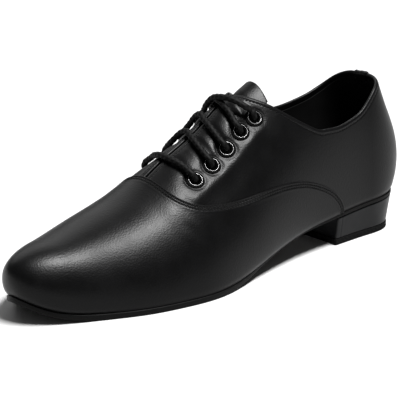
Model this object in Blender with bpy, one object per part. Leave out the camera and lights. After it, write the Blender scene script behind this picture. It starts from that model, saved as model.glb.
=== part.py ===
"""Ballroom dance shoe for a left foot: a lace-up with a low block heel, standing empty on its sole.

Metres, +Z up. The toe points along -Y and the outer side of the foot is +X. Every part follows one
surface, the last that the shoe is made on. Inside this file a place on it is given by k, from -1 at
the middle of the heel's back through 0 at the heel's centre to 1 at the toe, and by psi, the angle
that a cross-section has turned from the feather line (0) to the ridge of the instep (a quarter turn).
"""
import math

import bmesh
import bpy
import numpy as np
from mathutils import Vector

# Overall sizes
LENGTH = 0.288              # the last, heel to toe
BALL_WIDTH = 0.098          # the last at the ball of the foot
INSTEP_HEIGHT = 0.092       # ridge above the feather line at the top of the lacing
BACK_HEIGHT = 0.0735        # back of the collar above the feather line
SEAT_RISE = 0.0200          # how much higher the heel seat lies than the ball
TOE_SPRING = 0.0135         # how far the toe lifts off the floor
TOE_TUCK = 0.0034           # the toe's tip is drawn in this far just above the sole
TUCK_HEIGHT = 0.018         # and runs out at this height
CLEARANCE = 0.0003          # between pieces that are seated on each other

# Leather
WALL = 0.0021               # upper with its lining
VAMP_STEP = 0.0009          # the vamp lies this much above the quarters
VAMP_BEVEL = 0.0004         # slope of the vamp's cut edge
SLIT_HALF = 0.0006          # half the slit between the two facings
TONGUE_THICKNESS = 0.0018
TONGUE_CLEARANCE = 0.0008
TONGUE_HALF_WIDTH = 0.025
TAB_HALF_WIDTH = 0.0055
TAB_THICKNESS = 0.0011
TAB_OUTSIDE = 0.0105        # how far the tab reaches down the back
TAB_INSIDE = 0.0080
INSOLE_THICKNESS = 0.0020
INSOLE_CLEARANCE = 0.0010

# Sole and heel
SOLE_THICKNESS = 0.0034
SOLE_MARGIN = 0.0012        # outsole past the feather line at the forefoot
WAIST_THINNING = 0.42       # share of the sole's thickness lost from the waist back
HEEL_LENGTH = 0.0640        # back of the seat to the breast of the heel
HEEL_RAKE = 0.0055          # the heel's back leans in by this much
HEEL_TAPER = 0.0016         # and its sides by this much
LIFT_THICKNESS = 0.0040

# Eyelets and lace
EYELETS = 5                 # on each side
EYELET_FIRST = 0.5986       # share of the length, lowest eyelet
EYELET_LAST = 0.4265        # and highest
EYELET_SPREAD = 0.93        # below 1 the upper ones sit closer together
EYELET_INSET_FIRST = 0.0262  # from the ridge to the lowest eyelet, along the leather
EYELET_INSET_LAST = 0.0235
EYELET_BORE = 0.0028
EYELET_BARREL = 0.0033
EYELET_FLANGE = 0.0054
EYELET_CREST = 0.0009       # height of the rolled rim
EYELET_SIDES = 12
LACE_RADIUS = 0.0019
LACE_SIDES = 8

# Where things lie, as shares of the last's length from the heel
HEEL_CENTRE = 0.115
TOE_START = 0.635
TOE_POWER = 1.86
CAP_START = 0.90
CAP_POWER = 2.38
HEEL_POWER = 2.25
COLLAR_LOW = 0.255
FACING_TOP = 0.425
TREAD_START = 0.62
SPRING_START = 0.74
SPRING_POWER = 4.9
TUCK_START = 0.80
TONGUE_TOP = 0.380
TONGUE_END = 0.705

# Half width of the feather line as shares of BALL_WIDTH: share of length, outer side, inner side
PLAN = (
    (0.115, 0.285, 0.300),
    (0.220, 0.300, 0.295),
    (0.320, 0.320, 0.258),
    (0.420, 0.370, 0.240),
    (0.520, 0.440, 0.280),
    (0.620, 0.498, 0.370),
    (0.700, 0.493, 0.451),
    (0.780, 0.476, 0.494),
    (0.860, 0.435, 0.508),
    (1.000, 0.448, 0.436),
)

# Cross-sections: share of length, ridge as a share of INSTEP_HEIGHT, roundness,
# swell of the outer and the inner wall as shares of BALL_WIDTH
SECTIONS = (
    (0.000, 1.193, 2.26, 0.033, 0.020),
    (0.115, 1.176, 2.27, 0.016, 0.016),
    (0.220, 1.162, 2.28, 0.020, 0.041),
    (0.320, 1.078, 2.22, 0.036, 0.082),
    (0.420, 0.985, 2.05, 0.037, 0.100),
    (0.470, 0.938, 1.96, 0.033, 0.098),
    (0.520, 0.861, 1.88, 0.023, 0.090),
    (0.620, 0.724, 1.91, 0.004, 0.051),
    (0.700, 0.579, 2.00, 0.000, 0.020),
    (0.780, 0.485, 2.07, 0.002, 0.010),
    (0.860, 0.410, 2.15, 0.008, 0.012),
    (0.940, 0.350, 2.21, 0.016, 0.018),
    (1.000, 0.306, 2.23, 0.020, 0.020),
)

# The bed that the foot rests on: share of length, share of SEAT_RISE
PITCH = (
    (0.000, 1.000),
    (0.115, 0.935),
    (0.220, 0.825),
    (0.320, 0.665),
    (0.420, 0.411),
    (0.470, 0.262),
    (0.520, 0.125),
    (0.570, 0.032),
    (0.620, 0.000),
    (0.700, 0.000),
)

# Curve of the heel's back: share of BACK_HEIGHT, outward, as a share of BACK_HEIGHT
BACK_CURVE = (
    (0.00, 0.000),
    (0.13, 0.053),
    (0.28, 0.072),
    (0.44, 0.049),
    (0.61, -0.017),
    (0.79, -0.103),
    (0.95, -0.169),
    (1.10, -0.246),
)

# Collar behind its lowest point: share of length, outer and inner side as shares of BACK_HEIGHT
COLLAR = (
    (0.050, 1.000, 0.995),
    (0.080, 0.959, 0.886),
    (0.100, 0.914, 0.846),
    (0.135, 0.807, 0.808),
    (0.170, 0.761, 0.788),
    (0.210, 0.744, 0.779),
    (0.255, 0.767, 0.800),
)

# Collar from its lowest point up to the facing's top: share of the way, share of the rise
FACING_RISE = (
    (0.00, 0.00),
    (0.265, 0.17),
    (0.56, 0.50),
    (0.79, 0.79),
    (1.00, 1.00),
)

# Edge of the vamp, from the feather line at the heel to the ridge: share of the way,
# share of the length, degrees that the section has turned
SEAM = (
    (0.000, 0.205, 0.0),
    (0.060, 0.209, 9.0),
    (0.120, 0.218, 18.0),
    (0.220, 0.247, 31.8),
    (0.300, 0.280, 39.6),
    (0.420, 0.339, 47.1),
    (0.550, 0.418, 50.1),
    (0.660, 0.490, 50.7),
    (0.760, 0.548, 51.6),
    (0.830, 0.588, 53.0),
    (0.890, 0.622, 56.0),
    (0.930, 0.641, 60.5),
    (0.965, 0.655, 68.5),
    (0.985, 0.660, 78.0),
    (1.000, 0.6605, 90.0),
)

# Rows of the upper's mesh, as shares of the way along the vamp's edge
ROWS = (0.0, 0.07, 0.15, 0.24, 0.33, 0.43, 0.56, 0.70, 0.81, 0.88, 0.92, 0.943, 0.958, 0.969, 0.978,
        0.985, 0.990, 0.995, 1.0)
FAN_COLUMNS = 6
SIDE_COLUMNS = 6
CORNER_COLUMNS = 3
FACING_COLUMNS = 4
VAMP_COLUMNS = 7
TOE_COLUMNS = 8
TOE_COLUMNS_START = 0.715    # share of the length where they begin
SQUEEZE = math.radians(56.0)  # rows above this angle bend down along the collar

# Crossings of the lace: share of the length that it is drawn back by on its way to the slit
LACE_DRAW = 0.014


def spline(table, column, at, flat_start=False):
    """Natural cubic curve through one column of a table, read at the given shares."""
    xs = np.array([row[0] for row in table])
    ys = np.array([row[column] for row in table])
    at = np.clip(np.asarray(at, float), xs[0], xs[-1])
    n = len(xs)
    h = np.diff(xs)
    a = np.zeros((n, n))
    b = np.zeros(n)
    a[0, 0] = a[-1, -1] = 1.0
    if flat_start:
        a[0, :2] = 2 * h[0], h[0]
        b[0] = 6 * (ys[1] - ys[0]) / h[0]
    for i in range(1, n - 1):
        a[i, i - 1:i + 2] = h[i - 1], 2 * (h[i - 1] + h[i]), h[i]
        b[i] = 6 * ((ys[i + 1] - ys[i]) / h[i] - (ys[i] - ys[i - 1]) / h[i - 1])
    m = np.linalg.solve(a, b)
    j = np.clip(np.searchsorted(xs, at) - 1, 0, n - 2)
    d = at - xs[j]
    e = xs[j + 1] - at
    w = h[j]
    curve = (m[j] * e**3 + m[j + 1] * d**3) / (6 * w)
    return curve + (ys[j] / w - m[j] * w / 6) * e + (ys[j + 1] / w - m[j + 1] * w / 6) * d


def round_end(share, start, power):
    """Falls from 1 to 0 between the start and the toe like the end of a superellipse."""
    t = np.clip((share - start) / (1 - start), 0, 1)
    return (1 - t**power)**(1 / power)


def bed_height(share):
    """Height of the bed's underside, where the upper and the insole meet the outsole."""
    pitch = np.maximum(spline(PITCH, 1, share), 0)
    spring = np.clip((share - SPRING_START) / (1 - SPRING_START), 0, 1)**SPRING_POWER
    return SOLE_THICKNESS + SEAT_RISE * pitch + TOE_SPRING * spring


def feather_height(share):
    return bed_height(share) + CLEARANCE


def ridge_height(share):
    return INSTEP_HEIGHT * spline(SECTIONS, 1, share) * round_end(share, CAP_START, CAP_POWER)


def half_width(share, side):
    """Half width of the feather line; side is 1 for the outer and -1 for the inner side."""
    column = 1 if side > 0 else 2
    return BALL_WIDTH * spline(PLAN, column, share, True) * round_end(share, TOE_START, TOE_POWER)


def share_at(k):
    return HEEL_CENTRE + (1 - HEEL_CENTRE) * np.clip(k, 0, 1)


def k_at(share):
    return (share - HEEL_CENTRE) / (1 - HEEL_CENTRE)


def toe_tuck(share, height):
    """How far the toe is drawn back from its cap: most at the sole, none above TUCK_HEIGHT."""
    near = np.clip((share - TUCK_START) / (1 - TUCK_START), 0, 1)
    above = np.clip(height / TUCK_HEIGHT, 0, 1)
    return TOE_TUCK * near * near * (3 - 2 * near) * (1 - above)**2


def last(k, psi, side):
    """The last's surface, with the heel's back at y = 0 and the toe at y = -LENGTH."""
    k, psi = np.broadcast_arrays(np.asarray(k, float), np.asarray(psi, float))
    share = share_at(k)
    w = np.maximum(half_width(share, side), 1e-9)
    top = np.maximum(ridge_height(share), 1e-9)
    n = spline(SECTIONS, 2, share)
    r = 1 / ((np.cos(psi) / w)**n + (np.sin(psi) / top)**n)**(1 / n)
    x = r * np.cos(psi)
    h = r * np.sin(psi)
    rise = ((h / top + 0.02)**0.55 - 0.02**0.55) / (1.02**0.55 - 0.02**0.55)
    swell = BALL_WIDTH * spline(SECTIONS, 3 if side > 0 else 4, share)
    x = x + swell * np.sin(np.pi * np.clip(rise, 0, 1))
    turn = np.clip(-k, 0, 1) * np.pi / 2
    reach = HEEL_CENTRE * LENGTH + BACK_HEIGHT * spline(BACK_CURVE, 1, h / BACK_HEIGHT)
    x = x * np.cos(turn)**(2 / HEEL_POWER)
    y = -share * LENGTH + np.where(k < 0, reach * np.sin(turn)**(2 / HEEL_POWER), toe_tuck(share, h))
    z = feather_height(np.clip(-y / LENGTH, 0, 1)) + h
    return np.stack([side * x, y, z], -1)


def normals(k, psi, side):
    """Outward unit normals of the last, level along the feather line."""
    step = 1e-4
    k, psi = np.broadcast_arrays(np.asarray(k, float), np.asarray(psi, float))
    kk = np.clip(k, -1 + step, 1 - 3 * step)
    pp = np.clip(psi, step, np.pi / 2 - 2 * step)
    along = last(kk + step, pp, side) - last(kk - step, pp, side)
    up = last(kk, pp + step, side) - last(kk, pp - step, side)
    n = np.cross(up, along) * side
    n[k >= 1] = (0, -1, 0)
    n[..., 2] = np.where(psi <= 1e-6, 0, n[..., 2])
    n[..., 0] = np.where((k <= -1) | (psi >= np.pi / 2 - 1e-6), 0, n[..., 0])
    return n / np.linalg.norm(n, axis=-1, keepdims=True)


def lifted(k, psi, side, height):
    return last(k, psi, side) + normals(k, psi, side) * height


def collar_height(share, side):
    """Height of the collar's edge above the feather line."""
    column = 1 if side > 0 else 2
    back = BACK_HEIGHT * spline(COLLAR, column, share)
    low = BACK_HEIGHT * spline(COLLAR, column, COLLAR_LOW)
    front = ridge_height(np.array(FACING_TOP))
    way = np.clip((share - COLLAR_LOW) / (FACING_TOP - COLLAR_LOW), 0, 1)
    return np.where(share < COLLAR_LOW, back, low + (front - low) * spline(FACING_RISE, 1, way, True))


def slit_angle(k):
    return np.arccos(SLIT_HALF / np.maximum(ridge_height(share_at(k)), 2 * SLIT_HALF))


def edge_angle(k, side):
    """Angle at which the upper ends: at the collar's edge, or at the slit in front of it."""
    out = []
    for value in np.atleast_1d(k):
        end = float(slit_angle(value))
        if value < k_at(FACING_TOP) - 1e-9:
            psi = np.linspace(0.4, end, 400)
            p = last(value, psi, side)
            share = np.clip(-p[:, 1] / LENGTH, 0, 1)
            over = p[:, 2] - feather_height(share) - collar_height(share, side)
            if (over > 0).any():
                i = max(int(np.argmax(over > 0)), 1)
                t = over[i - 1] / (over[i - 1] - over[i])
                end = psi[i - 1] + t * (psi[i] - psi[i - 1])
        out.append(end)
    return np.array(out)


def seam_at(way):
    return k_at(spline(SEAM, 1, way)), np.radians(spline(SEAM, 2, way))


def instep_point(share, across, height):
    """A point beside the ridge: across is the distance along the leather, outer side positive."""
    side = 1 if across >= 0 else -1
    psi = np.linspace(np.pi / 2, 0.5, 160)
    line = last(k_at(share), psi, side)
    run = np.concatenate([[0], np.cumsum(np.linalg.norm(np.diff(line, axis=0), axis=1))])
    at = np.interp(abs(across), run, psi)
    point = last(k_at(share), at, side)
    normal = normals(k_at(share), at, side)
    return point + normal * height, normal


def new_object(name, mesh, material, parent, smooth=True):
    obj = bpy.data.objects.new(name, mesh)
    bpy.context.collection.objects.link(obj)
    obj.parent = parent
    if material:
        mesh.materials.append(material)
    if smooth:
        mesh.shade_smooth()
        mesh.set_sharp_from_angle(angle=math.radians(35))
    return obj


def solid(name, verts, faces):
    """A closed mesh whose faces all point outward."""
    mesh = bpy.data.meshes.new(name)
    mesh.from_pydata([tuple(float(c) for c in v) for v in verts], [], faces)
    bm = bmesh.new()
    bm.from_mesh(mesh)
    bmesh.ops.recalc_face_normals(bm, faces=bm.faces)
    bmesh.ops.triangulate(bm, faces=bm.faces)
    bm.to_mesh(mesh)
    bm.free()
    return mesh


def material(name, colour, roughness, metallic=0.0):
    mat = bpy.data.materials.new(name)
    mat.use_nodes = True
    shader = mat.node_tree.nodes["Principled BSDF"]
    shader.inputs["Base Color"].default_value = (*colour, 1)
    shader.inputs["Roughness"].default_value = roughness
    shader.inputs["Metallic"].default_value = metallic
    mat.diffuse_color = (*colour, 1)
    return mat


def quarter_columns():
    """Columns of the upper from the heel's back to the vamp's edge, as read along the top row."""
    corner = k_at(FACING_TOP)
    end = seam_at(1.0)[0]
    fan = np.linspace(-1, 0, FAN_COLUMNS + 1)
    near = corner * (1 - 0.22 * np.linspace(1, 0, CORNER_COLUMNS + 1)**2)
    side = np.linspace(0, near[0], SIDE_COLUMNS + 1)
    facing = np.linspace(corner, end, FACING_COLUMNS + 1)
    return np.concatenate([fan, side[1:], near[1:], facing[1:]])


def quarter_grid(side, columns, rows):
    """k and psi of every point of a quarter: rows follow the vamp's edge, then the collar."""
    edge_k, edge_psi = seam_at(rows)
    end = seam_at(1.0)[0]
    edge_psi = np.minimum(edge_psi, slit_angle(edge_k))
    k = np.where(columns[:, None] <= 0, columns[:, None], columns[:, None] * edge_k / end)
    psi = np.broadcast_to(edge_psi, k.shape).copy()
    top = slit_angle(np.array(end))
    for j in np.flatnonzero(edge_psi > SQUEEZE):
        limit = edge_angle(k[:, j], side)
        share = (edge_psi[j] - SQUEEZE) / (top - SQUEEZE)
        psi[:, j] = SQUEEZE + (limit - SQUEEZE) * share
    return k, psi


def vamp_grid(side, rows):
    """k and psi of every point of the vamp: its rows even out towards the toe."""
    edge_k, edge_psi = seam_at(rows)
    edge_psi = np.minimum(edge_psi, slit_angle(edge_k))
    edge_k = np.append(edge_k, edge_k[-1])
    edge_psi = np.append(edge_psi, np.pi / 2)
    toe = k_at(TOE_COLUMNS_START)
    way = np.linspace(0, 1, VAMP_COLUMNS + 1)[:, None]
    back = edge_k + (toe - edge_k) * way
    turn = np.linspace(0, np.pi / 2, TOE_COLUMNS + 1)[1:, None]
    front = np.broadcast_to(toe + (1 - toe) * np.sin(turn), (TOE_COLUMNS, len(edge_k)))
    k = np.concatenate([back, front])
    even = np.linspace(0, np.pi / 2, len(edge_k))
    t = np.clip((k - edge_k) / (1 - edge_k), 0, 1)
    t = t * t * (3 - 2 * t)
    psi = edge_psi * (1 - t) + even * t
    return k, psi


def feather_stations():
    """k of every station along the feather line, shared by the upper, the insole and the soles."""
    columns = quarter_columns()
    k_back, _ = quarter_grid(1, columns, np.array([0.0, 1.0]))
    k_front, _ = vamp_grid(1, np.array([0.0, 1.0]))
    return np.concatenate([k_back[:, 0], k_front[1:, 0]])


def build_upper(leather, parent):
    """One hollow solid: quarters, raised vamp, lining side, and the edges that close the wall."""
    rows = np.array(ROWS)
    top = len(rows) - 1
    columns = quarter_columns()
    last_q = len(columns) - 1
    sole_top = sole_surface(feather_stations())
    verts, index, faces = [], {}, []

    def place(layer, side, i, j, position):
        key = name_of(layer, side, i, j)
        if key not in index:
            index[key] = len(verts)
            verts.append(position)

    def name_of(layer, side, i, j):
        if i == toe_column:
            return layer, "toe"
        if (layer in "QI" and i == 0) or j == top + 1:
            side = 0
        return layer, side, i, j

    def face(*keys):
        ids = []
        for key in keys:
            v = index[name_of(*key)]
            if v not in ids:
                ids.append(v)
        if len(ids) > 2:
            faces.append(ids)

    toe_column = last_q + VAMP_COLUMNS + TOE_COLUMNS
    for side in (1, -1):
        k, psi = quarter_grid(side, columns, rows)
        outer = last(k, psi, side)
        inner = lifted(k, psi, side, -WALL)
        for i in range(last_q + 1):
            for j in range(top + 1):
                place("Q", side, i, j, outer[i, j])
                place("I", side, i, j, inner[i, j])
        k, psi = vamp_grid(side, rows)
        inner = lifted(k, psi, side, -WALL)
        bevel = VAMP_BEVEL / LENGTH / (1 - HEEL_CENTRE)
        k[0] += bevel
        outer = lifted(k, psi, side, VAMP_STEP)
        for wall in (outer, inner):
            wall[:, 0, 2] = sole_top(wall[:, 0, 1] - SOLE_MARGIN) + CLEARANCE
        for i in range(k.shape[0]):
            for j in range(top + 2):
                place("V", side, last_q + i, j, outer[i, j])
                place("I", side, last_q + i, j, inner[i, j])
        for i in range(last_q):
            for j in range(top):
                for layer in "QI":
                    face((layer, side, i, j), (layer, side, i, j + 1),
                         (layer, side, i + 1, j + 1), (layer, side, i + 1, j))
            for j in (0, top):
                face(("Q", side, i, j), ("Q", side, i + 1, j), ("I", side, i + 1, j), ("I", side, i, j))
        for i in range(last_q, toe_column):
            for j in range(top + 1):
                for layer in "VI":
                    face((layer, side, i, j), (layer, side, i, j + 1),
                         (layer, side, i + 1, j + 1), (layer, side, i + 1, j))
            rim = [("V", side, i, 0), ("V", side, i + 1, 0), ("I", side, i + 1, 0), ("I", side, i, 0)]
            if i == last_q:
                rim.append(("Q", side, i, 0))
            face(*rim)
        for j in range(top):
            face(("Q", side, last_q, j), ("Q", side, last_q, j + 1),
                 ("V", side, last_q, j + 1), ("V", side, last_q, j))
    face(("Q", 1, last_q, top), ("V", 1, last_q, top), ("V", 0, last_q, top + 1), ("V", -1, last_q, top),
         ("Q", -1, last_q, top), ("I", -1, last_q, top), ("I", 0, last_q, top + 1), ("I", 1, last_q, top))
    upper = new_object("upper", solid("upper", verts, faces), leather, parent)
    punch = upper.modifiers.new("eyelet_holes", "BOOLEAN")
    punch.operation = "DIFFERENCE"
    punch.solver = "EXACT"
    punch.object = build_punches(parent)
    upper.modifiers.new("triangles", "TRIANGULATE")
    return upper


def eyelet_places():
    """Share of the length and distance from the ridge of each eyelet on one side, lowest first."""
    for i in range(EYELETS):
        way = (i / max(EYELETS - 1, 1))**EYELET_SPREAD
        share = EYELET_FIRST + (EYELET_LAST - EYELET_FIRST) * way
        yield share, EYELET_INSET_FIRST + (EYELET_INSET_LAST - EYELET_INSET_FIRST) * way


def turned(profile, sides, name):
    """A closed profile of (radius, height) points turned about Z."""
    verts, faces = [], []
    n = len(profile)
    for s in range(sides):
        a = 2 * math.pi * s / sides
        for r, z in profile:
            verts.append((r * math.cos(a), r * math.sin(a), z))
    for s in range(sides):
        t = (s + 1) % sides
        for i in range(n):
            j = (i + 1) % n
            faces.append((s * n + i, t * n + i, t * n + j, s * n + j))
    return solid(name, verts, faces)


def build_punches(parent):
    """Rods standing through the upper's wall at every eyelet, to cut the holes."""
    radius = EYELET_BARREL + CLEARANCE
    verts, faces = [], []
    for share, inset in eyelet_places():
        for side in (1, -1):
            point, normal = instep_point(share, side * inset, 0)
            turn = Vector(normal).to_track_quat("Z", "Y")
            base = len(verts)
            for z in (-2 * WALL, 2 * WALL):
                for s in range(EYELET_SIDES):
                    a = 2 * math.pi * s / EYELET_SIDES
                    spot = Vector((radius * math.cos(a), radius * math.sin(a), z))
                    verts.append(turn @ spot + Vector(point))
            n = EYELET_SIDES
            faces.append([base + s for s in range(n)])
            faces.append([base + n + s for s in range(n)])
            for s in range(n):
                t = (s + 1) % n
                faces.append((base + s, base + t, base + n + t, base + n + s))
    punches = new_object("eyelet_punches", solid("eyelet_punches", verts, faces), None, parent, False)
    punches.hide_render = True
    punches.display_type = "WIRE"
    return punches


def build_eyelets(metal, parent):
    depth = 0.8 * WALL
    crest = 0.5 * (EYELET_BARREL + EYELET_FLANGE)
    profile = (
        (EYELET_BORE, -depth),
        (EYELET_BARREL, -depth),
        (EYELET_BARREL, 0.0),
        (EYELET_FLANGE, 0.0),
        (EYELET_FLANGE, 0.4 * EYELET_CREST),
        (crest, EYELET_CREST),
        (EYELET_BORE, 0.7 * EYELET_CREST),
    )
    mesh = turned(profile, EYELET_SIDES, "eyelet")
    mesh.materials.append(metal)
    for side, word in ((1, "outer"), (-1, "inner")):
        for number, (share, inset) in enumerate(eyelet_places(), 1):
            point, normal = instep_point(share, side * inset, CLEARANCE)
            obj = new_object(f"eyelet_{word}_{number}", mesh, None, parent)
            obj.location = Vector(point)
            obj.rotation_mode = "QUATERNION"
            obj.rotation_quaternion = Vector(normal).to_track_quat("Z", "Y")


def smooth_path(points, spacing):
    """Natural cubic curve through the points, read about every spacing."""
    points = np.array(points)
    run = np.concatenate([[0], np.cumsum(np.linalg.norm(np.diff(points, axis=0), axis=1))])
    count = int(round(run[-1] / spacing)) + 1
    at = np.linspace(0, run[-1], count)
    table = np.column_stack([run, points])
    return np.stack([spline(table, c, at) for c in (1, 2, 3)], -1)


def tube(name, path, radius, sides):
    """A round tube along a path, with flat ends."""
    along = np.gradient(path, axis=0)
    along /= np.linalg.norm(along, axis=1, keepdims=True)
    across = np.cross(along[0], (0, 0, 1))
    across /= np.linalg.norm(across)
    verts, faces = [], []
    for p, t in zip(path, along):
        across = across - t * np.dot(across, t)
        across /= np.linalg.norm(across)
        other = np.cross(t, across)
        for s in range(sides):
            a = 2 * math.pi * s / sides
            verts.append(p + radius * (math.cos(a) * across + math.sin(a) * other))
    for i in range(len(path) - 1):
        for s in range(sides):
            t = (s + 1) % sides
            faces.append((i * sides + s, i * sides + t, (i + 1) * sides + t, (i + 1) * sides + s))
    faces.append(list(range(sides)))
    faces.append([(len(path) - 1) * sides + s for s in range(sides)])
    return solid(name, verts, faces)


def lace_end(share, across):
    """The lace's first points, from inside an eyelet's bore up and over its rim to the ridge."""
    rim = CLEARANCE + EYELET_CREST + LACE_RADIUS + CLEARANCE
    inward = -1 if across > 0 else 1
    return [
        instep_point(share, across, -0.4 * WALL)[0],
        instep_point(share, across, 0.45 * rim)[0],
        instep_point(share, across + inward * 0.28 * EYELET_FLANGE, 1.08 * rim)[0],
        instep_point(share, across + inward * 0.95 * EYELET_FLANGE, 1.12 * rim)[0],
    ]


def lace_run(start, finish, middle, rest):
    """Path from one eyelet over the ridge to another; middle lists (share, across, height)."""
    points = lace_end(*start)
    points += [instep_point(s, a, h)[0] for s, a, h in middle]
    points += lace_end(*finish)[::-1]
    return smooth_path(points, rest)


def build_lace(cord, parent):
    """The lowest row is a straight bar, the next ones meet over the slit, the top ones cross."""
    low = LACE_RADIUS + 2 * CLEARANCE
    step = 1.5 * LACE_RADIUS
    places = list(eyelet_places())
    flank = 0.42
    for number, (share, inset) in enumerate(places[:-2], 1):
        draw = 0 if number == 1 else LACE_DRAW
        name = f"lace_bar_{number}" if number == 1 else f"lace_cross_{number}"
        middle = [
            (share - 0.55 * draw, flank * inset, low),
            (share - draw, 0.0, low),
            (share - 0.55 * draw, -flank * inset, low),
        ]
        path = lace_run((share, inset), (share, -inset), middle, step)
        new_object(name, tube(name, path, LACE_RADIUS, LACE_SIDES), cord, parent)
    (share_a, inset_a), (share_b, inset_b) = places[-2:]
    half = 0.5 * (share_a + share_b)
    quarter = 0.25 * (share_b - share_a)
    under = [(half - quarter, flank * inset_a, low), (half, 0.0, low), (half + quarter, -flank * inset_b, low)]
    high = low + 1.75 * LACE_RADIUS
    over = [(half - quarter, -flank * inset_a, 0.6 * low + 0.4 * high), (half, 0.0, high),
            (half + quarter, flank * inset_b, 0.6 * low + 0.4 * high)]
    path = lace_run((share_a, inset_a), (share_b, -inset_b), under, step)
    name = f"lace_cross_{len(places) - 1}"
    crossing = new_object(name, tube(name, path, LACE_RADIUS, LACE_SIDES), cord, parent)
    path = lace_run((share_a, -inset_a), (share_b, inset_b), over, step)
    strand = new_object("upper_strand", tube("upper_strand", path, LACE_RADIUS, LACE_SIDES), None, parent)
    strand.hide_render = True
    strand.display_type = "WIRE"
    join = crossing.modifiers.new("upper_strand", "BOOLEAN")
    join.operation = "UNION"
    join.solver = "EXACT"
    join.object = strand


def build_tongue(leather, parent):
    """A tapered sheet under the facings that stands out above their top edge."""
    shares = np.concatenate([np.linspace(TONGUE_TOP, TONGUE_TOP + 0.012, 3),
                             np.linspace(TONGUE_TOP + 0.03, TONGUE_END, 9)])
    columns = np.linspace(-1, 1, 13)
    grids = []
    for depth in (0.0, TONGUE_THICKNESS):
        grid = []
        for share in shares:
            corner = np.clip((share - TONGUE_TOP) / 0.03, 0, 1)
            width = TONGUE_HALF_WIDTH * (0.72 + 0.28 * math.sqrt(1 - (1 - corner)**2))
            width *= 1 - 0.35 * max(0.0, (share - 0.5) / 0.2)
            offset = -(WALL + TONGUE_CLEARANCE + depth)
            grid.append([instep_point(share, c * width, offset)[0] for c in columns])
        grids.append(np.array(grid))
    verts, faces = [], []
    rows, cols = len(shares), len(columns)
    for grid in grids:
        verts.extend(grid.reshape(-1, 3))
    size = rows * cols
    for i in range(rows - 1):
        for j in range(cols - 1):
            a = i * cols + j
            faces.append((a, a + 1, a + cols + 1, a + cols))
            faces.append((size + a, size + a + 1, size + a + cols + 1, size + a + cols))
    ring = [j for j in range(cols)] + [i * cols + cols - 1 for i in range(1, rows)]
    ring += [(rows - 1) * cols + j for j in range(cols - 2, -1, -1)] + [i * cols for i in range(rows - 2, 0, -1)]
    for a, b in zip(ring, ring[1:] + ring[:1]):
        faces.append((a, b, size + b, size + a))
    new_object("tongue", solid("tongue", verts, faces), leather, parent)


def build_tab(leather, parent):
    """The pull tab: a short strip folded over the back of the collar."""
    count = 7
    reach = TAB_HALF_WIDTH / (0.5 * np.pi * BALL_WIDTH * PLAN[0][1] * 0.9)
    rows = []
    for c in np.linspace(-1, 1, count):
        side = 1 if c >= 0 else -1
        k = np.array(-1 + reach * abs(c))
        end = float(edge_angle(k, side)[0])
        psi = np.linspace(end - 0.5, end, 60)
        line = last(k, psi, side)
        run = np.linalg.norm(np.diff(line, axis=0), axis=1)[::-1].cumsum()
        run = np.concatenate([[0], run])

        def down(distance):
            return float(np.interp(distance, run, psi[::-1]))

        tip = last(k, end, side)
        out = normals(k, end, side)
        up = tip - last(k, down(0.004), side)
        up /= np.linalg.norm(up)
        bottom = down(TAB_OUTSIDE)
        middle = down(0.5 * TAB_OUTSIDE)
        inner_end = down(TAB_INSIDE)
        inner_mid = down(0.5 * TAB_INSIDE)
        near = CLEARANCE
        far = CLEARANCE + TAB_THICKNESS
        top_in = tip - out * WALL
        row = [
            lifted(k, bottom, side, near),
            lifted(k, middle, side, near),
            tip + (out + up) * near,
            top_in + (up - out) * near,
            lifted(k, inner_mid, side, -WALL - near),
            lifted(k, inner_end, side, -WALL - near),
            lifted(k, inner_end, side, -WALL - far),
            lifted(k, inner_mid, side, -WALL - far),
            top_in - out * far + up * near,
            top_in - out * 0.4 * near + up * far,
            tip + out * 0.4 * near + up * far,
            tip + out * far + up * near,
            lifted(k, middle, side, far),
            lifted(k, bottom, side, far),
        ]
        rows.append(row)
    n = len(rows[0])
    verts = [p for row in rows for p in row]
    faces = []
    for i in range(count - 1):
        for j in range(n):
            m = (j + 1) % n
            faces.append((i * n + j, i * n + m, (i + 1) * n + m, (i + 1) * n + j))
    pairs = [(0, 1, 12, 13), (1, 2, 11, 12), (2, 3, 10, 11), (3, 4, 7, 8), (4, 5, 6, 7), (3, 8, 9, 10)]
    for base in (0, (count - 1) * n):
        for quad in pairs:
            faces.append([base + v for v in quad])
    new_object("heel_tab", solid("heel_tab", verts, faces), leather, parent)


def outline(k, side, margin):
    """Feather line moved outward by the margin, in plan."""
    point = last(k, 0.0, side)
    normal = normals(k, 0.0, side)
    return (point + normal * np.asarray(margin)[..., None])[..., :2]


def plate(name, left, right, low, high, substance, parent, levels=None):
    """A closed plate between two outlines that share their ends, from height low to high.

    left and right list a plan point for each station and level; low and high give the heights.
    """
    stations = left.shape[0]
    count = left.shape[1]
    verts, index, faces = [], {}, []
    for side, points in ((0, left), (1, right)):
        for i in range(stations):
            for level in range(count):
                t = level / (count - 1)
                x, y = points[i, level]
                key = (side, i, level)
                if side == 1 and abs(x - left[i, level, 0]) < 1e-7:
                    index[key] = index[(0, i, level)]
                    continue
                index[key] = len(verts)
                verts.append((x, y, low(y) * (1 - t) + high(y) * t))

    def face(*keys):
        ids = []
        for key in keys:
            v = index[key]
            if v not in ids:
                ids.append(v)
        if len(ids) > 2:
            faces.append(ids)

    for i in range(stations - 1):
        for level in range(count - 1):
            for side in (0, 1):
                face((side, i, level), (side, i + 1, level), (side, i + 1, level + 1), (side, i, level + 1))
        for level in (0, count - 1):
            face((0, i, level), (0, i + 1, level), (1, i + 1, level), (1, i, level))
    for level in range(count - 1):
        for i in (0, stations - 1):
            face((0, i, level), (1, i, level), (1, i, level + 1), (0, i, level + 1))
    return new_object(name, solid(name, verts, faces), substance, parent)


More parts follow.
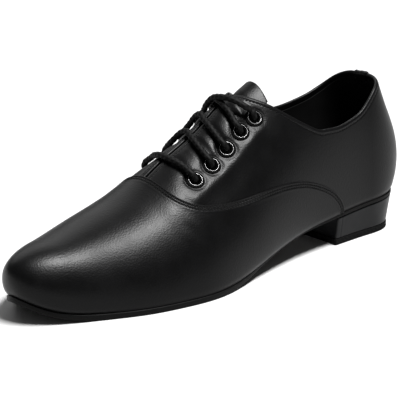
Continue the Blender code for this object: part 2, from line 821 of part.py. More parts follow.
def sole_surface(stations):
    """Top of the outsole as a function of y, in the same straight runs as the upper's edge."""
    ys = last(stations, 0.0, 1)[:, 1]
    zs = bed_height(np.clip(-ys / LENGTH, 0, 1))
    return lambda y: np.interp(y, ys[::-1], zs[::-1])


def sole_thickness(y):
    way = np.clip((-y / LENGTH - 0.40) / (TREAD_START - 0.40), 0, 1)
    return SOLE_THICKNESS * (1 - WAIST_THINNING * (1 - way * way * (3 - 2 * way)))


def sole_margin(k):
    """Outsole past the feather line: wide round the forefoot, tucked in at the waist and seat."""
    share = np.where(k < 0, 0, share_at(k))
    way = np.clip((share - 0.45) / 0.17, 0, 1)
    waist = -1.6 * np.clip(1 - np.abs(share - 0.36) / 0.16, 0, 1)
    return SOLE_MARGIN * (way * way * (3 - 2 * way) + waist)


def build_soles(hide, rubber, cover, liner, parent):
    k = feather_stations()
    sole_top = sole_surface(k)
    margin = sole_margin(k)
    left, right = (np.repeat(outline(k, side, margin)[:, None], 2, axis=1) for side in (1, -1))

    def rim_height(y):
        return np.minimum(sole_top(y), sole_top(y + SOLE_MARGIN))

    plate("outsole", left, right, lambda y: rim_height(y) - sole_thickness(y), rim_height, hide, parent)

    inset = np.full(len(k), -(WALL + INSOLE_CLEARANCE))
    left, right = (np.repeat(outline(k, side, inset)[:, None], 2, axis=1) for side in (1, -1))
    plate("insole", left, right, lambda y: sole_top(y) + CLEARANCE,
          lambda y: sole_top(y) + CLEARANCE + INSOLE_THICKNESS, liner, parent)

    breast = k_at(HEEL_LENGTH / LENGTH)
    k = np.append(k[k < breast - 1e-3], breast)
    back = np.sin(np.clip(-k, 0, 1) * np.pi / 2)**2
    levels = 4
    sides = []
    for side in (1, -1):
        columns = []
        for level in range(levels):
            drop = 1 - level / (levels - 1)
            points = outline(k, side, -CLEARANCE - HEEL_TAPER * drop * (1 - back))
            points[:, 1] -= HEEL_RAKE * drop * back
            columns.append(points)
        sides.append(np.stack(columns, 1))
    base = LIFT_THICKNESS + CLEARANCE
    plate("heel_block", sides[0], sides[1], lambda y: base,
          lambda y: sole_top(y) - sole_thickness(y) - CLEARANCE, cover, parent)
    left, right = (np.repeat(points[:, :1], 2, axis=1) for points in sides)
    plate("top_lift", left, right, lambda y: 0.0, lambda y: LIFT_THICKNESS, rubber, parent)


def main():
    for obj in list(bpy.data.objects):
        bpy.data.objects.remove(obj, do_unlink=True)
    shoe = bpy.data.objects.new("shoe", None)
    bpy.context.collection.objects.link(shoe)

    leather = material("black_calf", (0.012, 0.012, 0.013), 0.36)
    lining = material("lining_leather", (0.016, 0.016, 0.016), 0.7)
    hide = material("sole_leather", (0.02, 0.019, 0.018), 0.75)
    cover = material("heel_cover", (0.017, 0.018, 0.020), 0.45)
    rubber = material("rubber", (0.010, 0.010, 0.010), 0.8)
    metal = material("eyelet_metal", (0.55, 0.55, 0.56), 0.28, 1.0)
    cord = material("lace_cord", (0.014, 0.014, 0.014), 0.62)

    build_upper(leather, shoe)
    build_eyelets(metal, shoe)
    build_lace(cord, shoe)
    build_tongue(leather, shoe)
    build_tab(leather, shoe)
    build_soles(hide, rubber, cover, lining, shoe)

    bpy.context.view_layer.update()
    corners = []
    for obj in bpy.data.objects:
        if obj.type == "MESH" and not obj.hide_render:
            corners += [obj.matrix_world @ v.co for v in obj.data.vertices]
    corners = np.array(corners)
    middle = (corners.min(0) + corners.max(0)) / 2
    shoe.location = (-middle[0], -middle[1], 0)


main()
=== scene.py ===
"""Ballroom dance shoe for a left foot, dressed over its solid model.

Metres, +Z up, toe along -Y, outer side of the foot +X. The leather pieces follow the last, the same
surface that the solids follow. A place on it is k (from -1 at the heel's back through 0 at the heel's
centre to 1 at the toe) and psi (the turn of the cross-section, 0 at the feather line, a quarter turn
on the ridge of the instep). Side is 1 for the outer and -1 for the inner half of the shoe.
"""
import math

import bmesh
import bpy
import numpy as np
from mathutils import Matrix, Vector


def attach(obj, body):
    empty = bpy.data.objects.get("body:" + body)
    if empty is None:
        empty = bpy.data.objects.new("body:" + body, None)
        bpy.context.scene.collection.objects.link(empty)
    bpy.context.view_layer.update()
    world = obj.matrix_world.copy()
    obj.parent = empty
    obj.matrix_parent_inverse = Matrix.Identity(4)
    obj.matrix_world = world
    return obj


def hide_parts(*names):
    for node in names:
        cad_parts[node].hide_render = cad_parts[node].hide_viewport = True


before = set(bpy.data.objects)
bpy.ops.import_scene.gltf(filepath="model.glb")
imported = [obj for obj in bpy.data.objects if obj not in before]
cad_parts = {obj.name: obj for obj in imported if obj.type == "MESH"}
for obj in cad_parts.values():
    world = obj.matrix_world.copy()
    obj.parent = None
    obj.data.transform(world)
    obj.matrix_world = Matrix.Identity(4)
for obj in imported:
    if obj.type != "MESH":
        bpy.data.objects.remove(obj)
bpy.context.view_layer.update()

# The last is worked out with the heel's back at y = 0; this moves it into the shared frame
MIDDLE = np.array([-0.002338, 0.140816, 0.0])

# Sizes of the solids
LENGTH = 0.288
BALL_WIDTH = 0.098
INSTEP_HEIGHT = 0.092
BACK_HEIGHT = 0.0735
SEAT_RISE = 0.0200
TOE_SPRING = 0.0135
TOE_TUCK = 0.0034
TUCK_HEIGHT = 0.018
SWELL_START = 0.02            # the wall's swell grows fast just above the feather line
SWELL_POWER = 0.55
CLEARANCE = 0.0003
WALL = 0.0021
VAMP_STEP = 0.0009
SOLE_THICKNESS = 0.0034
SOLE_MARGIN = 0.0012
WAIST_END = 0.40
WAIST_THINNING = 0.42
HEEL_LENGTH = 0.0640
HEEL_RAKE = 0.0055
HEEL_TAPER = 0.0016
LIFT_THICKNESS = 0.0040
INSOLE_THICKNESS = 0.0020
TONGUE_HALF_WIDTH = 0.025
TAB_HALF_WIDTH = 0.0048
TAB_OUTSIDE = 0.0105
TAB_INSIDE = 0.0080
LACE_RADIUS = 0.0019
HEEL_CENTRE = 0.115
TOE_START = 0.635
TOE_POWER = 1.86
CAP_START = 0.90
CAP_POWER = 2.38
HEEL_POWER = 2.25
COLLAR_LOW = 0.255
FACING_TOP = 0.425
TREAD_START = 0.62
SPRING_START = 0.74
SPRING_POWER = 4.9
TUCK_START = 0.80
TONGUE_TOP = 0.380
TONGUE_END = 0.705
MM = 0.001

# Sizes of the fine work
EDGE_ROUND = 0.5 * WALL      # the collar's and the facings' edges are folded over
SLIT_HALF = 0.0009
VAMP_BAND = 0.0062           # the vamp's rows run square to its edge this far
FOLD_ROUND = 0.0008          # the vamp's folded edge
ROW_NEAR = 0.0016            # stitch rows behind the vamp's edge
ROW_FAR = 0.0032
ROW_COLLAR = 0.0019          # stitch row below the collar
COLLAR_SEWN = (-0.985, 0.612)    # k at the ends of that row
STITCH = 0.0021              # pitch
STITCH_SHOWN = 0.72          # share of the pitch that lies on the leather
THREAD = 0.00026             # radius
THREAD_SINK = 0.0001
EYELET_SINK = 0.0006
EYELET_HOLE = 0.0040         # the leather is cut away inside this radius
STEEL_AND_HIGHLIGHT_RIM = (0.0038, 0.0042)    # radii between which an eyelet is bare steel, made light to stand in also for the crest's highlight: partly its own colour, partly painted highlight
BRAID_PITCH = 0.0034
LACE_UNDER = -0.0042         # height of the lace's hidden runs
TONGUE_HALF_THICKNESS = 0.0009
TAB_BODY = 0.0006            # thickness
TAB_GAP = 0.0001
HEEL_CORNER = 0.0005
HEEL_STEPS = 420             # points round a heel loop
SQUEEZE = math.radians(56.0)     # above this turn a quarter's rows even out into the leather's edge

# Camera: the photograph is PICTURE pixels wide, and its angles are in degrees
PICTURE = 400.0
SENSOR = 36.0
FOCAL_PIXELS = 1941.0
SHIFT_PIXELS = (-6.4, -8.0)
CAMERA_AZIMUTH = 49.2
CAMERA_ELEVATION = 16.54
CAMERA_ROLL = 1.06
CAMERA_DISTANCE = 1.142
CAMERA_TARGET = (0, -0.144, 0.045)

# Light: the room's strength, then name, azimuth, elevation, distance, size and radiance of each box
ROOM = 0.13
SOFT_BOXES = (
    ("overhead_box", 108, 71, 2.6, (1.0, 0.72), 76.0),
    ("far_panel", -112, 38, 2.2, (2.2, 1.6), 1.3),
)

# Half width of the feather line as shares of BALL_WIDTH: share of length, outer side, inner side
PLAN = (
    (0.115, 0.285, 0.300),
    (0.220, 0.300, 0.295),
    (0.320, 0.320, 0.258),
    (0.420, 0.370, 0.240),
    (0.520, 0.440, 0.280),
    (0.620, 0.498, 0.370),
    (0.700, 0.493, 0.451),
    (0.780, 0.476, 0.494),
    (0.860, 0.435, 0.508),
    (1.000, 0.448, 0.436),
)

# Cross-sections: share of length, ridge as a share of INSTEP_HEIGHT, roundness,
# swell of the outer and the inner wall as shares of BALL_WIDTH
SECTIONS = (
    (0.000, 1.193, 2.26, 0.033, 0.020),
    (0.115, 1.176, 2.27, 0.016, 0.016),
    (0.220, 1.162, 2.28, 0.020, 0.041),
    (0.320, 1.078, 2.22, 0.036, 0.082),
    (0.420, 0.985, 2.05, 0.037, 0.100),
    (0.470, 0.938, 1.96, 0.033, 0.098),
    (0.520, 0.861, 1.88, 0.023, 0.090),
    (0.620, 0.724, 1.91, 0.004, 0.051),
    (0.700, 0.579, 2.00, 0.000, 0.020),
    (0.780, 0.485, 2.07, 0.002, 0.010),
    (0.860, 0.410, 2.15, 0.008, 0.012),
    (0.940, 0.350, 2.21, 0.016, 0.018),
    (1.000, 0.306, 2.23, 0.020, 0.020),
)

# The bed that the foot rests on: share of length, share of SEAT_RISE
PITCH = (
    (0.000, 1.000),
    (0.115, 0.935),
    (0.220, 0.825),
    (0.320, 0.665),
    (0.420, 0.411),
    (0.470, 0.262),
    (0.520, 0.125),
    (0.570, 0.032),
    (0.620, 0.000),
    (0.700, 0.000),
)

# Curve of the heel's back: share of BACK_HEIGHT, outward, as a share of BACK_HEIGHT
BACK_CURVE = (
    (0.00, 0.000),
    (0.13, 0.053),
    (0.28, 0.072),
    (0.44, 0.049),
    (0.61, -0.017),
    (0.79, -0.103),
    (0.95, -0.169),
    (1.10, -0.246),
)

# Collar behind its lowest point: share of length, outer and inner side as shares of BACK_HEIGHT
COLLAR = (
    (0.050, 1.000, 0.995),
    (0.080, 0.959, 0.886),
    (0.100, 0.914, 0.846),
    (0.135, 0.807, 0.808),
    (0.170, 0.761, 0.788),
    (0.210, 0.744, 0.779),
    (0.255, 0.767, 0.800),
)

# Collar from its lowest point up to the facing's top: share of the way, share of the rise
FACING_RISE = (
    (0.00, 0.00),
    (0.265, 0.17),
    (0.56, 0.50),
    (0.79, 0.79),
    (1.00, 1.00),
)

# Edge of the vamp, from the feather line at the heel to the ridge: share of the way,
# share of the length, degrees that the section has turned
SEAM = (
    (0.000, 0.205, 0.0),
    (0.060, 0.209, 9.0),
    (0.120, 0.218, 18.0),
    (0.220, 0.247, 31.8),
    (0.300, 0.280, 39.6),
    (0.420, 0.339, 47.1),
    (0.550, 0.418, 50.1),
    (0.660, 0.490, 50.7),
    (0.760, 0.548, 51.6),
    (0.830, 0.588, 53.0),
    (0.890, 0.622, 56.0),
    (0.930, 0.641, 60.5),
    (0.965, 0.655, 68.5),
    (0.985, 0.660, 78.0),
    (1.000, 0.6605, 90.0),
)

# Eyelets on one side, lowest first: share of the length, distance from the ridge
EYELETS = (
    (0.5986, 0.0262),
    (0.5512, 0.0255),
    (0.5083, 0.0248),
    (0.4669, 0.0241),
    (0.4265, 0.0235),
)

# Eyelet from its barrel round the flange: distance from the axis and height above the leather, millimetres
EYELET_PROFILE = (
    (2.80, -2.40), (2.80, -0.60), (2.83, -0.15), (2.95, 0.14), (3.18, 0.36), (3.46, 0.50), (3.66, 0.56),
    (3.84, 0.72), (3.94, 0.84), (4.04, 0.87), (4.14, 0.82), (4.24, 0.66), (4.36, 0.46), (4.66, 0.38),
    (5.05, 0.32), (5.40, 0.24), (5.62, 0.08), (5.70, -0.14), (5.60, -0.70), (4.40, -0.80),
)

# The lace in the order that it is threaded. For each strand on top: its hidden run before it (share of the
# length, millimetres from the ridge), the eyelet it leaves and the one it enters (row from 0 at the lowest,
# side, lean), and the strand (share of the length, millimetres from the ridge and over the leather)
LACE = (
    # from the top row, an arc over the other crossing strand
    (((0.4265, 19.0),), (4, 1, 0.012), (3, -1, -0.010),
     ((0.4370, 17.5, 4.6), (0.4460, 13.0, 6.0), (0.4530, 8.0, 6.2), (0.4570, 4.0, 5.4), (0.4594, 0.0, 4.5),
      (0.4601, -3.5, 3.8), (0.4616, -7.0, 3.2), (0.4620, -11.0, 2.6), (0.4609, -15.0, 2.1))),
    # the third row and the second, each drawn up over the slit
    (((0.4740, -19.0), (0.5000, -19.0)), (2, -1, -0.012), (2, 1, 0.012),
     ((0.4985, -12.5, 2.4), (0.4962, -8.0, 2.9), (0.4962, -4.2, 3.0), (0.4990, -1.2, 3.0),
      (0.5038, 1.2, 2.2), (0.5081, 5.3, 2.1), (0.5114, 10.7, 2.1), (0.5127, 15.8, 2.2))),
    (((0.5180, 18.5), (0.5400, 18.5)), (1, 1, 0.010), (1, -1, -0.010),
     ((0.5545, 16.8, 2.2), (0.5528, 11.6, 2.1), (0.5490, 6.1, 2.1), (0.5443, 1.8, 2.1),
      (0.5405, -1.2, 2.7), (0.5396, -4.2, 2.7), (0.5420, -8.0, 2.6), (0.5465, -12.0, 2.3))),
    # the straight bar of the lowest row
    (((0.5600, -19.0), (0.5850, -19.0)), (0, -1, 0.0), (0, 1, 0.014),
     ((0.5990, -17.0, 2.0), (0.6010, -12.0, 1.8), (0.6055, -8.0, 1.8), (0.6095, -3.0, 2.0),
      (0.6108, 2.0, 2.1), (0.6098, 7.8, 2.1), (0.6064, 13.5, 2.1), (0.6042, 18.0, 2.2))),
    # the other crossing strand, under the arc to the top row
    (((0.5850, 17.0), (0.5300, 15.0), (0.4850, 16.0)), (3, 1, 0.012), (4, -1, 0.010),
     ((0.4698, 15.4, 2.3), (0.4675, 11.3, 2.2), (0.4658, 7.2, 2.2), (0.4631, 3.2, 2.3),
      (0.4596, -0.3, 2.3), (0.4540, -4.0, 2.2), (0.4450, -11.0, 2.0), (0.4360, -17.0, 2.1))),
)

# Creases: from and to (share of length, distance from the ridge), depth, width
CREASES = (
    ((0.640, 0.030), (0.612, 0.047), 0.00022, 0.0021),
    ((0.668, 0.040), (0.640, 0.056), 0.00018, 0.0024),
    ((0.655, -0.026), (0.628, -0.046), 0.00020, 0.0022),
    ((0.700, 0.020), (0.690, 0.048), 0.00012, 0.0034),
    ((0.705, -0.018), (0.694, -0.046), 0.00012, 0.0034),
    ((0.402, 0.030), (0.372, 0.046), 0.00022, 0.0030),
    ((0.402, -0.030), (0.372, -0.046), 0.00022, 0.0030),
)


def spline(table, column, at, flat_start=False):
    """Natural cubic curve through one column of a table, read at the given shares."""
    xs = np.array([row[0] for row in table])
    ys = np.array([row[column] for row in table])
    at = np.clip(np.asarray(at, float), xs[0], xs[-1])
    n = len(xs)
    h = np.diff(xs)
    a = np.zeros((n, n))
    b = np.zeros(n)
    a[0, 0] = a[-1, -1] = 1.0
    if flat_start:
        a[0, :2] = 2 * h[0], h[0]
        b[0] = 6 * (ys[1] - ys[0]) / h[0]
    for i in range(1, n - 1):
        a[i, i - 1:i + 2] = h[i - 1], 2 * (h[i - 1] + h[i]), h[i]
        b[i] = 6 * ((ys[i + 1] - ys[i]) / h[i] - (ys[i] - ys[i - 1]) / h[i - 1])
    m = np.linalg.solve(a, b)
    j = np.clip(np.searchsorted(xs, at) - 1, 0, n - 2)
    d = at - xs[j]
    e = xs[j + 1] - at
    w = h[j]
    curve = (m[j] * e**3 + m[j + 1] * d**3) / (6 * w)
    return curve + (ys[j] / w - m[j] * w / 6) * e + (ys[j + 1] / w - m[j + 1] * w / 6) * d


def round_end(share, start, power):
    """Falls from 1 to 0 between the start and the toe like the end of a superellipse."""
    t = np.clip((share - start) / (1 - start), 0, 1)
    return (1 - t**power)**(1 / power)


def smooth(t):
    """Eases from 0 to 1 with level ends: three t squared less two t cubed."""
    t = np.clip(t, 0, 1)
    return t * t * (3 - 2 * t)


def hump(distance, width):
    """A bell of height 1 at distance 0."""
    return np.exp(-(distance / width)**2)


def bed_height(share):
    """Height of the bed's underside, where the upper and the insole meet the outsole."""
    pitch = np.maximum(spline(PITCH, 1, share), 0)
    spring = np.clip((share - SPRING_START) / (1 - SPRING_START), 0, 1)**SPRING_POWER
    return SOLE_THICKNESS + SEAT_RISE * pitch + TOE_SPRING * spring


def feather_height(share):
    return bed_height(share) + CLEARANCE


def ridge_height(share):
    return INSTEP_HEIGHT * spline(SECTIONS, 1, share) * round_end(share, CAP_START, CAP_POWER)


def half_width(share, side):
    column = 1 if side > 0 else 2
    return BALL_WIDTH * spline(PLAN, column, share, True) * round_end(share, TOE_START, TOE_POWER)


def share_of(y):
    """Share of the length at a y of the last."""
    return np.clip(-y / LENGTH, 0, 1)


def share_at(k):
    """Share of the length at a k; round the heel the section stays that of the heel's centre."""
    return HEEL_CENTRE + (1 - HEEL_CENTRE) * np.clip(k, 0, 1)


def k_at(share):
    return (share - HEEL_CENTRE) / (1 - HEEL_CENTRE)


def toe_tuck(share, height):
    """How far the toe is drawn back from its cap: most at the sole, none above TUCK_HEIGHT."""
    above = np.clip(height / TUCK_HEIGHT, 0, 1)
    return TOE_TUCK * smooth((share - TUCK_START) / (1 - TUCK_START)) * (1 - above)**2


def last(k, psi, side):
    """The last: a superellipse at each station, swollen above the feather line, turned round the heel."""
    k, psi = np.broadcast_arrays(np.asarray(k, float), np.asarray(psi, float))
    share = share_at(k)
    w = np.maximum(half_width(share, side), 1e-9)
    top = np.maximum(ridge_height(share), 1e-9)
    n = spline(SECTIONS, 2, share)
    r = 1 / ((np.abs(np.cos(psi)) / w)**n + (np.sin(psi) / top)**n)**(1 / n)
    x = r * np.cos(psi)
    h = r * np.sin(psi)
    low, full = SWELL_START**SWELL_POWER, (1 + SWELL_START)**SWELL_POWER
    rise = ((np.maximum(h, 0) / top + SWELL_START)**SWELL_POWER - low) / (full - low)
    swell = BALL_WIDTH * spline(SECTIONS, 3 if side > 0 else 4, share)
    x = x + swell * np.sin(np.pi * np.clip(rise, 0, 1))
    turn = np.clip(-k, 0, 1) * np.pi / 2
    reach = HEEL_CENTRE * LENGTH + BACK_HEIGHT * spline(BACK_CURVE, 1, h / BACK_HEIGHT)
    x = x * np.cos(turn)**(2 / HEEL_POWER)
    y = -share * LENGTH + np.where(k < 0, reach * np.sin(turn)**(2 / HEEL_POWER), toe_tuck(share, h))
    z = feather_height(share_of(y)) + h
    return np.stack([side * x, y, z], -1)


def normals(k, psi, side):
    """Outward unit normals of the last, level along the feather line."""
    step = 1e-4
    k, psi = np.broadcast_arrays(np.asarray(k, float), np.asarray(psi, float))
    kk = np.clip(k, -1 + step, 1 - 3 * step)
    pp = np.clip(psi, step, np.pi / 2 - 2 * step)
    along = last(kk + step, pp, side) - last(kk - step, pp, side)
    up = last(kk, pp + step, side) - last(kk, pp - step, side)
    n = np.cross(up, along) * side
    n[k >= 1] = (0, -1, 0)
    n[..., 2] = np.where(psi <= 1e-6, 0, n[..., 2])
    n[..., 0] = np.where((k <= -1) | (psi >= np.pi / 2 - 1e-6), 0, n[..., 0])
    return n / np.linalg.norm(n, axis=-1, keepdims=True)


def lifted(k, psi, side, height):
    """The last moved outward along its normals."""
    return last(k, psi, side) + normals(k, psi, side) * np.asarray(height)[..., None]


def unit(v):
    return v / np.maximum(np.linalg.norm(v, axis=-1, keepdims=True), 1e-12)


def collar_height(share, side):
    """Height of the collar's edge above the feather line."""
    column = 1 if side > 0 else 2
    back = BACK_HEIGHT * spline(COLLAR, column, share)
    low = BACK_HEIGHT * spline(COLLAR, column, COLLAR_LOW)
    front = ridge_height(np.array(FACING_TOP))
    way = np.clip((share - COLLAR_LOW) / (FACING_TOP - COLLAR_LOW), 0, 1)
    return np.where(share < COLLAR_LOW, back, low + (front - low) * spline(FACING_RISE, 1, way, True))


def edge_line(side, inset):
    """k and psi of a line that runs inside the leather's edge, along the collar and down the slit.

    At each k it is the angle where the section reaches the collar's height less the inset, carried on
    straight past the facing's top, and a soft minimum of that and the slit's angle rounds the corner.
    """
    ks = np.concatenate([np.linspace(-1, 0, 120), np.linspace(0, 0.66, 560)[1:]])
    corner = k_at(FACING_TOP) - 0.004
    psi = np.linspace(0.4, np.pi / 2, 600)
    p = last(np.minimum(ks, corner)[:, None], psi, side)
    share = share_of(p[..., 1])
    over = p[..., 2] - feather_height(share) - collar_height(share, side) + inset
    i = np.clip(np.argmax(over > 0, axis=1), 1, None)
    r = np.arange(len(ks))
    t = over[r, i - 1] / (over[r, i - 1] - over[r, i])
    collar = psi[i - 1] + t * (psi[1] - psi[0])
    at = np.searchsorted(ks, corner) - 1
    slope = (collar[at] - collar[at - 8]) / (ks[at] - ks[at - 8])
    collar = np.where(ks > ks[at], collar[at] + slope * (ks - ks[at]), collar)
    stations = share_at(ks)
    slit = np.arccos(np.clip((SLIT_HALF + inset) / ridge_height(stations), 0, 1))
    soft = 0.022
    return ks, -soft * np.log(np.exp(-collar / soft) + np.exp(-slit / soft))


def seam_at(way):
    return k_at(spline(SEAM, 1, way)), np.radians(spline(SEAM, 2, way))


def instep(share, across, height):
    """Points beside the ridge: across is the distance along the leather, outer side positive."""
    share, across, height = np.broadcast_arrays(
        *(np.atleast_1d(a).astype(float) for a in (share, across, height)))
    side = np.where(across >= 0, 1, -1)
    psi = np.linspace(np.pi / 2, 0.4, 260)
    k = k_at(share)
    point = np.empty(share.shape + (3,))
    normal = np.empty_like(point)
    for s in (1, -1):
        use = side == s
        if not use.any():
            continue
        stations, which = np.unique(share[use], return_inverse=True)
        line = last(k_at(stations)[:, None], psi, s)
        run = np.cumsum(np.linalg.norm(np.diff(line, axis=1), axis=2), axis=1)
        run = np.concatenate([np.zeros((len(stations), 1)), run], axis=1)
        step = run[which]
        want = np.abs(across[use])[:, None]
        i = np.clip((step < want).sum(1) - 1, 0, len(psi) - 2)
        r = np.arange(len(which))
        t = (want[:, 0] - step[r, i]) / (step[r, i + 1] - step[r, i])
        at = psi[i] + t * (psi[1] - psi[0])
        normal[use] = normals(k[use], at, s)
        point[use] = last(k[use], at, s)
    return point + normal * height[..., None], normal


def nearness(points, curve):
    """Distance from each point of a grid to the nearest point of a curve, one grid line at a time."""
    return np.stack([np.linalg.norm(line[:, None] - curve, axis=2).min(1) for line in points])


def run_of(points):
    """Distance along a curve from its first point to each of its points."""
    return np.concatenate([[0], np.cumsum(np.linalg.norm(np.diff(points, axis=0), axis=1))])


def smooth_path(points, spacing):
    """Natural cubic curve through the points, read about every spacing."""
    run = run_of(points)
    at = np.linspace(0, run[-1], int(round(run[-1] / spacing)) + 1)
    table = np.column_stack([run, points])
    return np.stack([spline(table, c, at) for c in (1, 2, 3)], -1)


# Making meshes

class Shape:
    """Collects grids of points into one mesh."""

    def __init__(self):
        self.points, self.quads, self.marks, self.uvs, self.count = [], [], [], [], 0

    def grid(self, points, closed=False, mark=0, uv=None, keep=None):
        """Adds a grid: each cell becomes a four-sided face, and a closed grid's lines run once round."""
        m, n = points.shape[:2]
        index = np.arange(m * n).reshape(m, n) + self.count
        if closed:
            index = np.concatenate([index, index[:, :1]], 1)
        quads = np.stack([index[:-1, :-1], index[1:, :-1], index[1:, 1:], index[:-1, 1:]], -1)
        keep = np.ones(quads.shape[:2], bool) if keep is None else keep
        marks = np.broadcast_to(np.asarray(mark), quads.shape[:2])
        self.quads.append(quads[keep])
        self.marks.append(marks[keep])
        self.points.append(points.reshape(-1, 3))
        self.uvs.append((np.zeros((m, n, 2)) if uv is None else uv).reshape(-1, 2))
        self.count += m * n
        return self

    def piece(self, name, finishes, slot, nodes, flip=False):
        """Turns the grids into a finished piece that rides on the shoe."""
        points = np.concatenate(self.points) + MIDDLE
        quads = np.concatenate(self.quads)
        marks = np.concatenate(self.marks).astype(np.int32)
        uvs = np.concatenate(self.uvs)
        mesh = bpy.data.meshes.new(name)
        mesh.vertices.add(len(points))
        mesh.vertices.foreach_set("co", points.astype(np.float32).ravel())
        mesh.loops.add(quads.size)
        mesh.loops.foreach_set("vertex_index", quads.astype(np.int32).ravel())
        mesh.polygons.add(len(quads))
        mesh.polygons.foreach_set("loop_start", np.arange(0, quads.size, 4, dtype=np.int32))
        mesh.polygons.foreach_set("material_index", marks)
        layer = mesh.uv_layers.new(name="UVMap")
        layer.data.foreach_set("uv", uvs[quads.ravel()].astype(np.float32).ravel())
        mesh.update(calc_edges=True)
        bm = bmesh.new()
        bm.from_mesh(mesh)
        bmesh.ops.remove_doubles(bm, verts=bm.verts, dist=1e-6)
        bmesh.ops.dissolve_degenerate(bm, edges=bm.edges, dist=1e-7)
        bmesh.ops.recalc_face_normals(bm, faces=bm.faces)
        if flip:
            bmesh.ops.reverse_faces(bm, faces=bm.faces)
        bm.to_mesh(mesh)
        bm.free()
        mesh.shade_smooth()
        for finish in finishes:
            mesh.materials.append(finish)
        obj = bpy.data.objects.new(name, mesh)
        bpy.context.scene.collection.objects.link(obj)
        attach(obj, "root")
        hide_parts(*nodes)


# Finishes

class Finish:
    """A new material with its shader, and short calls for the nodes that the finishes share."""

    def __init__(self, name, colour, roughness, specular, metallic=0.0, sheen=0.0):
        self.material = bpy.data.materials.new(name)
        self.material.use_nodes = True
        self.material.diffuse_color = (*colour, 1)
        self.tree = self.material.node_tree
        self.shader = self.tree.nodes["Principled BSDF"]
        self.normal = None
        values = {"Base Color": (*colour, 1), "Roughness": roughness, "Specular IOR Level": specular,
                  "Metallic": metallic, "Sheen Weight": sheen}
        for key, value in values.items():
            self.shader.inputs[key].default_value = value

    def node(self, kind, inputs=(), **values):
        """A node with its settings and its inputs, each a constant or another node's output."""
        made = self.tree.nodes.new(kind)
        for key, value in values.items():
            setattr(made, key, value)
        for key, value in inputs:
            if isinstance(value, bpy.types.NodeSocket):
                self.tree.links.new(value, made.inputs[key])
            else:
                made.inputs[key].default_value = value
        return made

    def place(self, stretch=None):
        """The point on the piece, in metres, or drawn out by a scale along each axis."""
        point = self.node("ShaderNodeTexCoord").outputs["Object"]
        if stretch is None:
            return point
        return self.node("ShaderNodeMapping", [("Vector", point), ("Scale", stretch)]).outputs["Vector"]

    def noise(self, scale, detail, roughness=0.5, stretch=None):
        return self.node("ShaderNodeTexNoise", [
            ("Vector", self.place(stretch)), ("Scale", scale), ("Detail", detail),
            ("Roughness", roughness)]).outputs["Fac"]

    def tint(self, value, low, high):
        """Base colour over a value; low and high are (value, grey or colour)."""
        made = self.node("ShaderNodeValToRGB", [("Fac", value)])
        for element, (place, colour) in zip(made.color_ramp.elements, (low, high)):
            element.position = place
            element.color = (*((colour,) * 3 if np.isscalar(colour) else colour), 1)
        self.tree.links.new(made.outputs["Color"], self.shader.inputs["Base Color"])

    def polish(self, value, span, rough):
        """Roughness that goes over its two values while the value goes over its span."""
        made = self.node("ShaderNodeMapRange", [
            ("Value", value), ("From Min", span[0]), ("From Max", span[1]), ("To Min", rough[0]),
            ("To Max", rough[1])])
        self.tree.links.new(made.outputs["Result"], self.shader.inputs["Roughness"])

    def bump(self, height, distance, strength):
        """Relief from a height; each call adds to the ones before."""
        inputs = [("Height", height), ("Distance", distance), ("Strength", strength)]
        if self.normal is not None:
            inputs.append(("Normal", self.normal))
        self.normal = self.node("ShaderNodeBump", inputs).outputs["Normal"]
        self.tree.links.new(self.normal, self.shader.inputs["Normal"])


def calf():
    """Smooth black calf: fine pebbled grain, faint cloudiness, slightly uneven polish."""
    colour = np.array((0.0018, 0.0018, 0.0019))
    made = Finish("black_calf", colour, 0.33, 0.13)
    cloud = made.noise(55.0, 4.0, 0.55)
    made.tint(cloud, (0.35, 0.82 * colour), (0.65, 1.22 * colour))
    made.polish(cloud, (0.3, 0.7), (0.33, 0.41))
    made.bump(made.noise(130.0, 2.0), 0.00010, 0.10)
    pebble = made.node("ShaderNodeTexVoronoi", [("Vector", made.place()), ("Scale", 1150.0),
                                                ("Randomness", 1.0)], feature="SMOOTH_F1")
    made.bump(pebble.outputs["Distance"], 0.00012, 0.60)
    made.bump(made.noise(1900.0, 3.0, 0.6), 0.00005, 0.35)
    return made.material


def lining_hide():
    """Dull black lining leather with a napped, slightly mottled face."""
    made = Finish("black_lining", (0.0022, 0.0022, 0.0022), 0.85, 0.08)
    made.tint(made.noise(90.0, 4.0), (0.3, 0.0016), (0.7, 0.0030))
    made.bump(made.noise(2400.0, 3.0), 0.00012, 0.6)
    return made.material


def napped_hide():
    """Split leather of the outsole: a short nap brushed one way, scuffed where it touches the floor."""
    made = Finish("napped_sole_leather", (0.009, 0.008, 0.008), 0.9, 0.12, sheen=0.06)
    brushed = (1.0, 0.22, 1.0)
    scuff = made.noise(70.0, 6.0, 0.7, brushed)
    made.tint(scuff, (0.38, (0.006, 0.0055, 0.0055)), (0.72, (0.018, 0.0165, 0.0155)))
    made.bump(made.noise(2600.0, 4.0, stretch=brushed), 0.0003, 0.8)
    return made.material


def sole_edge():
    """Blacked edge of the outsole: pressed layers show as faint lines."""
    made = Finish("blacked_edge", (0.0016, 0.0016, 0.0016), 0.55, 0.10)
    layers = made.noise(900.0, 3.0, stretch=(0.25, 0.25, 3.0))
    made.tint(layers, (0.35, 0.0010), (0.7, 0.0026))
    made.bump(layers, 0.00015, 0.7)
    made.bump(made.noise(1500.0, 2.0), 0.00010, 0.5)
    return made.material


def heel_wrap():
    """Cover of the heel block: slightly cool black sheet with a satin face."""
    made = Finish("heel_cover", (0.0026, 0.0029, 0.0033), 0.42, 0.15)
    cloud = made.noise(120.0, 4.0)
    made.tint(cloud, (0.3, (0.0021, 0.0023, 0.0027)), (0.7, (0.0032, 0.0034, 0.0039)))
    made.polish(cloud, (0.3, 0.7), (0.36, 0.5))
    made.bump(made.noise(1700.0, 3.0), 0.00006, 0.4)
    return made.material


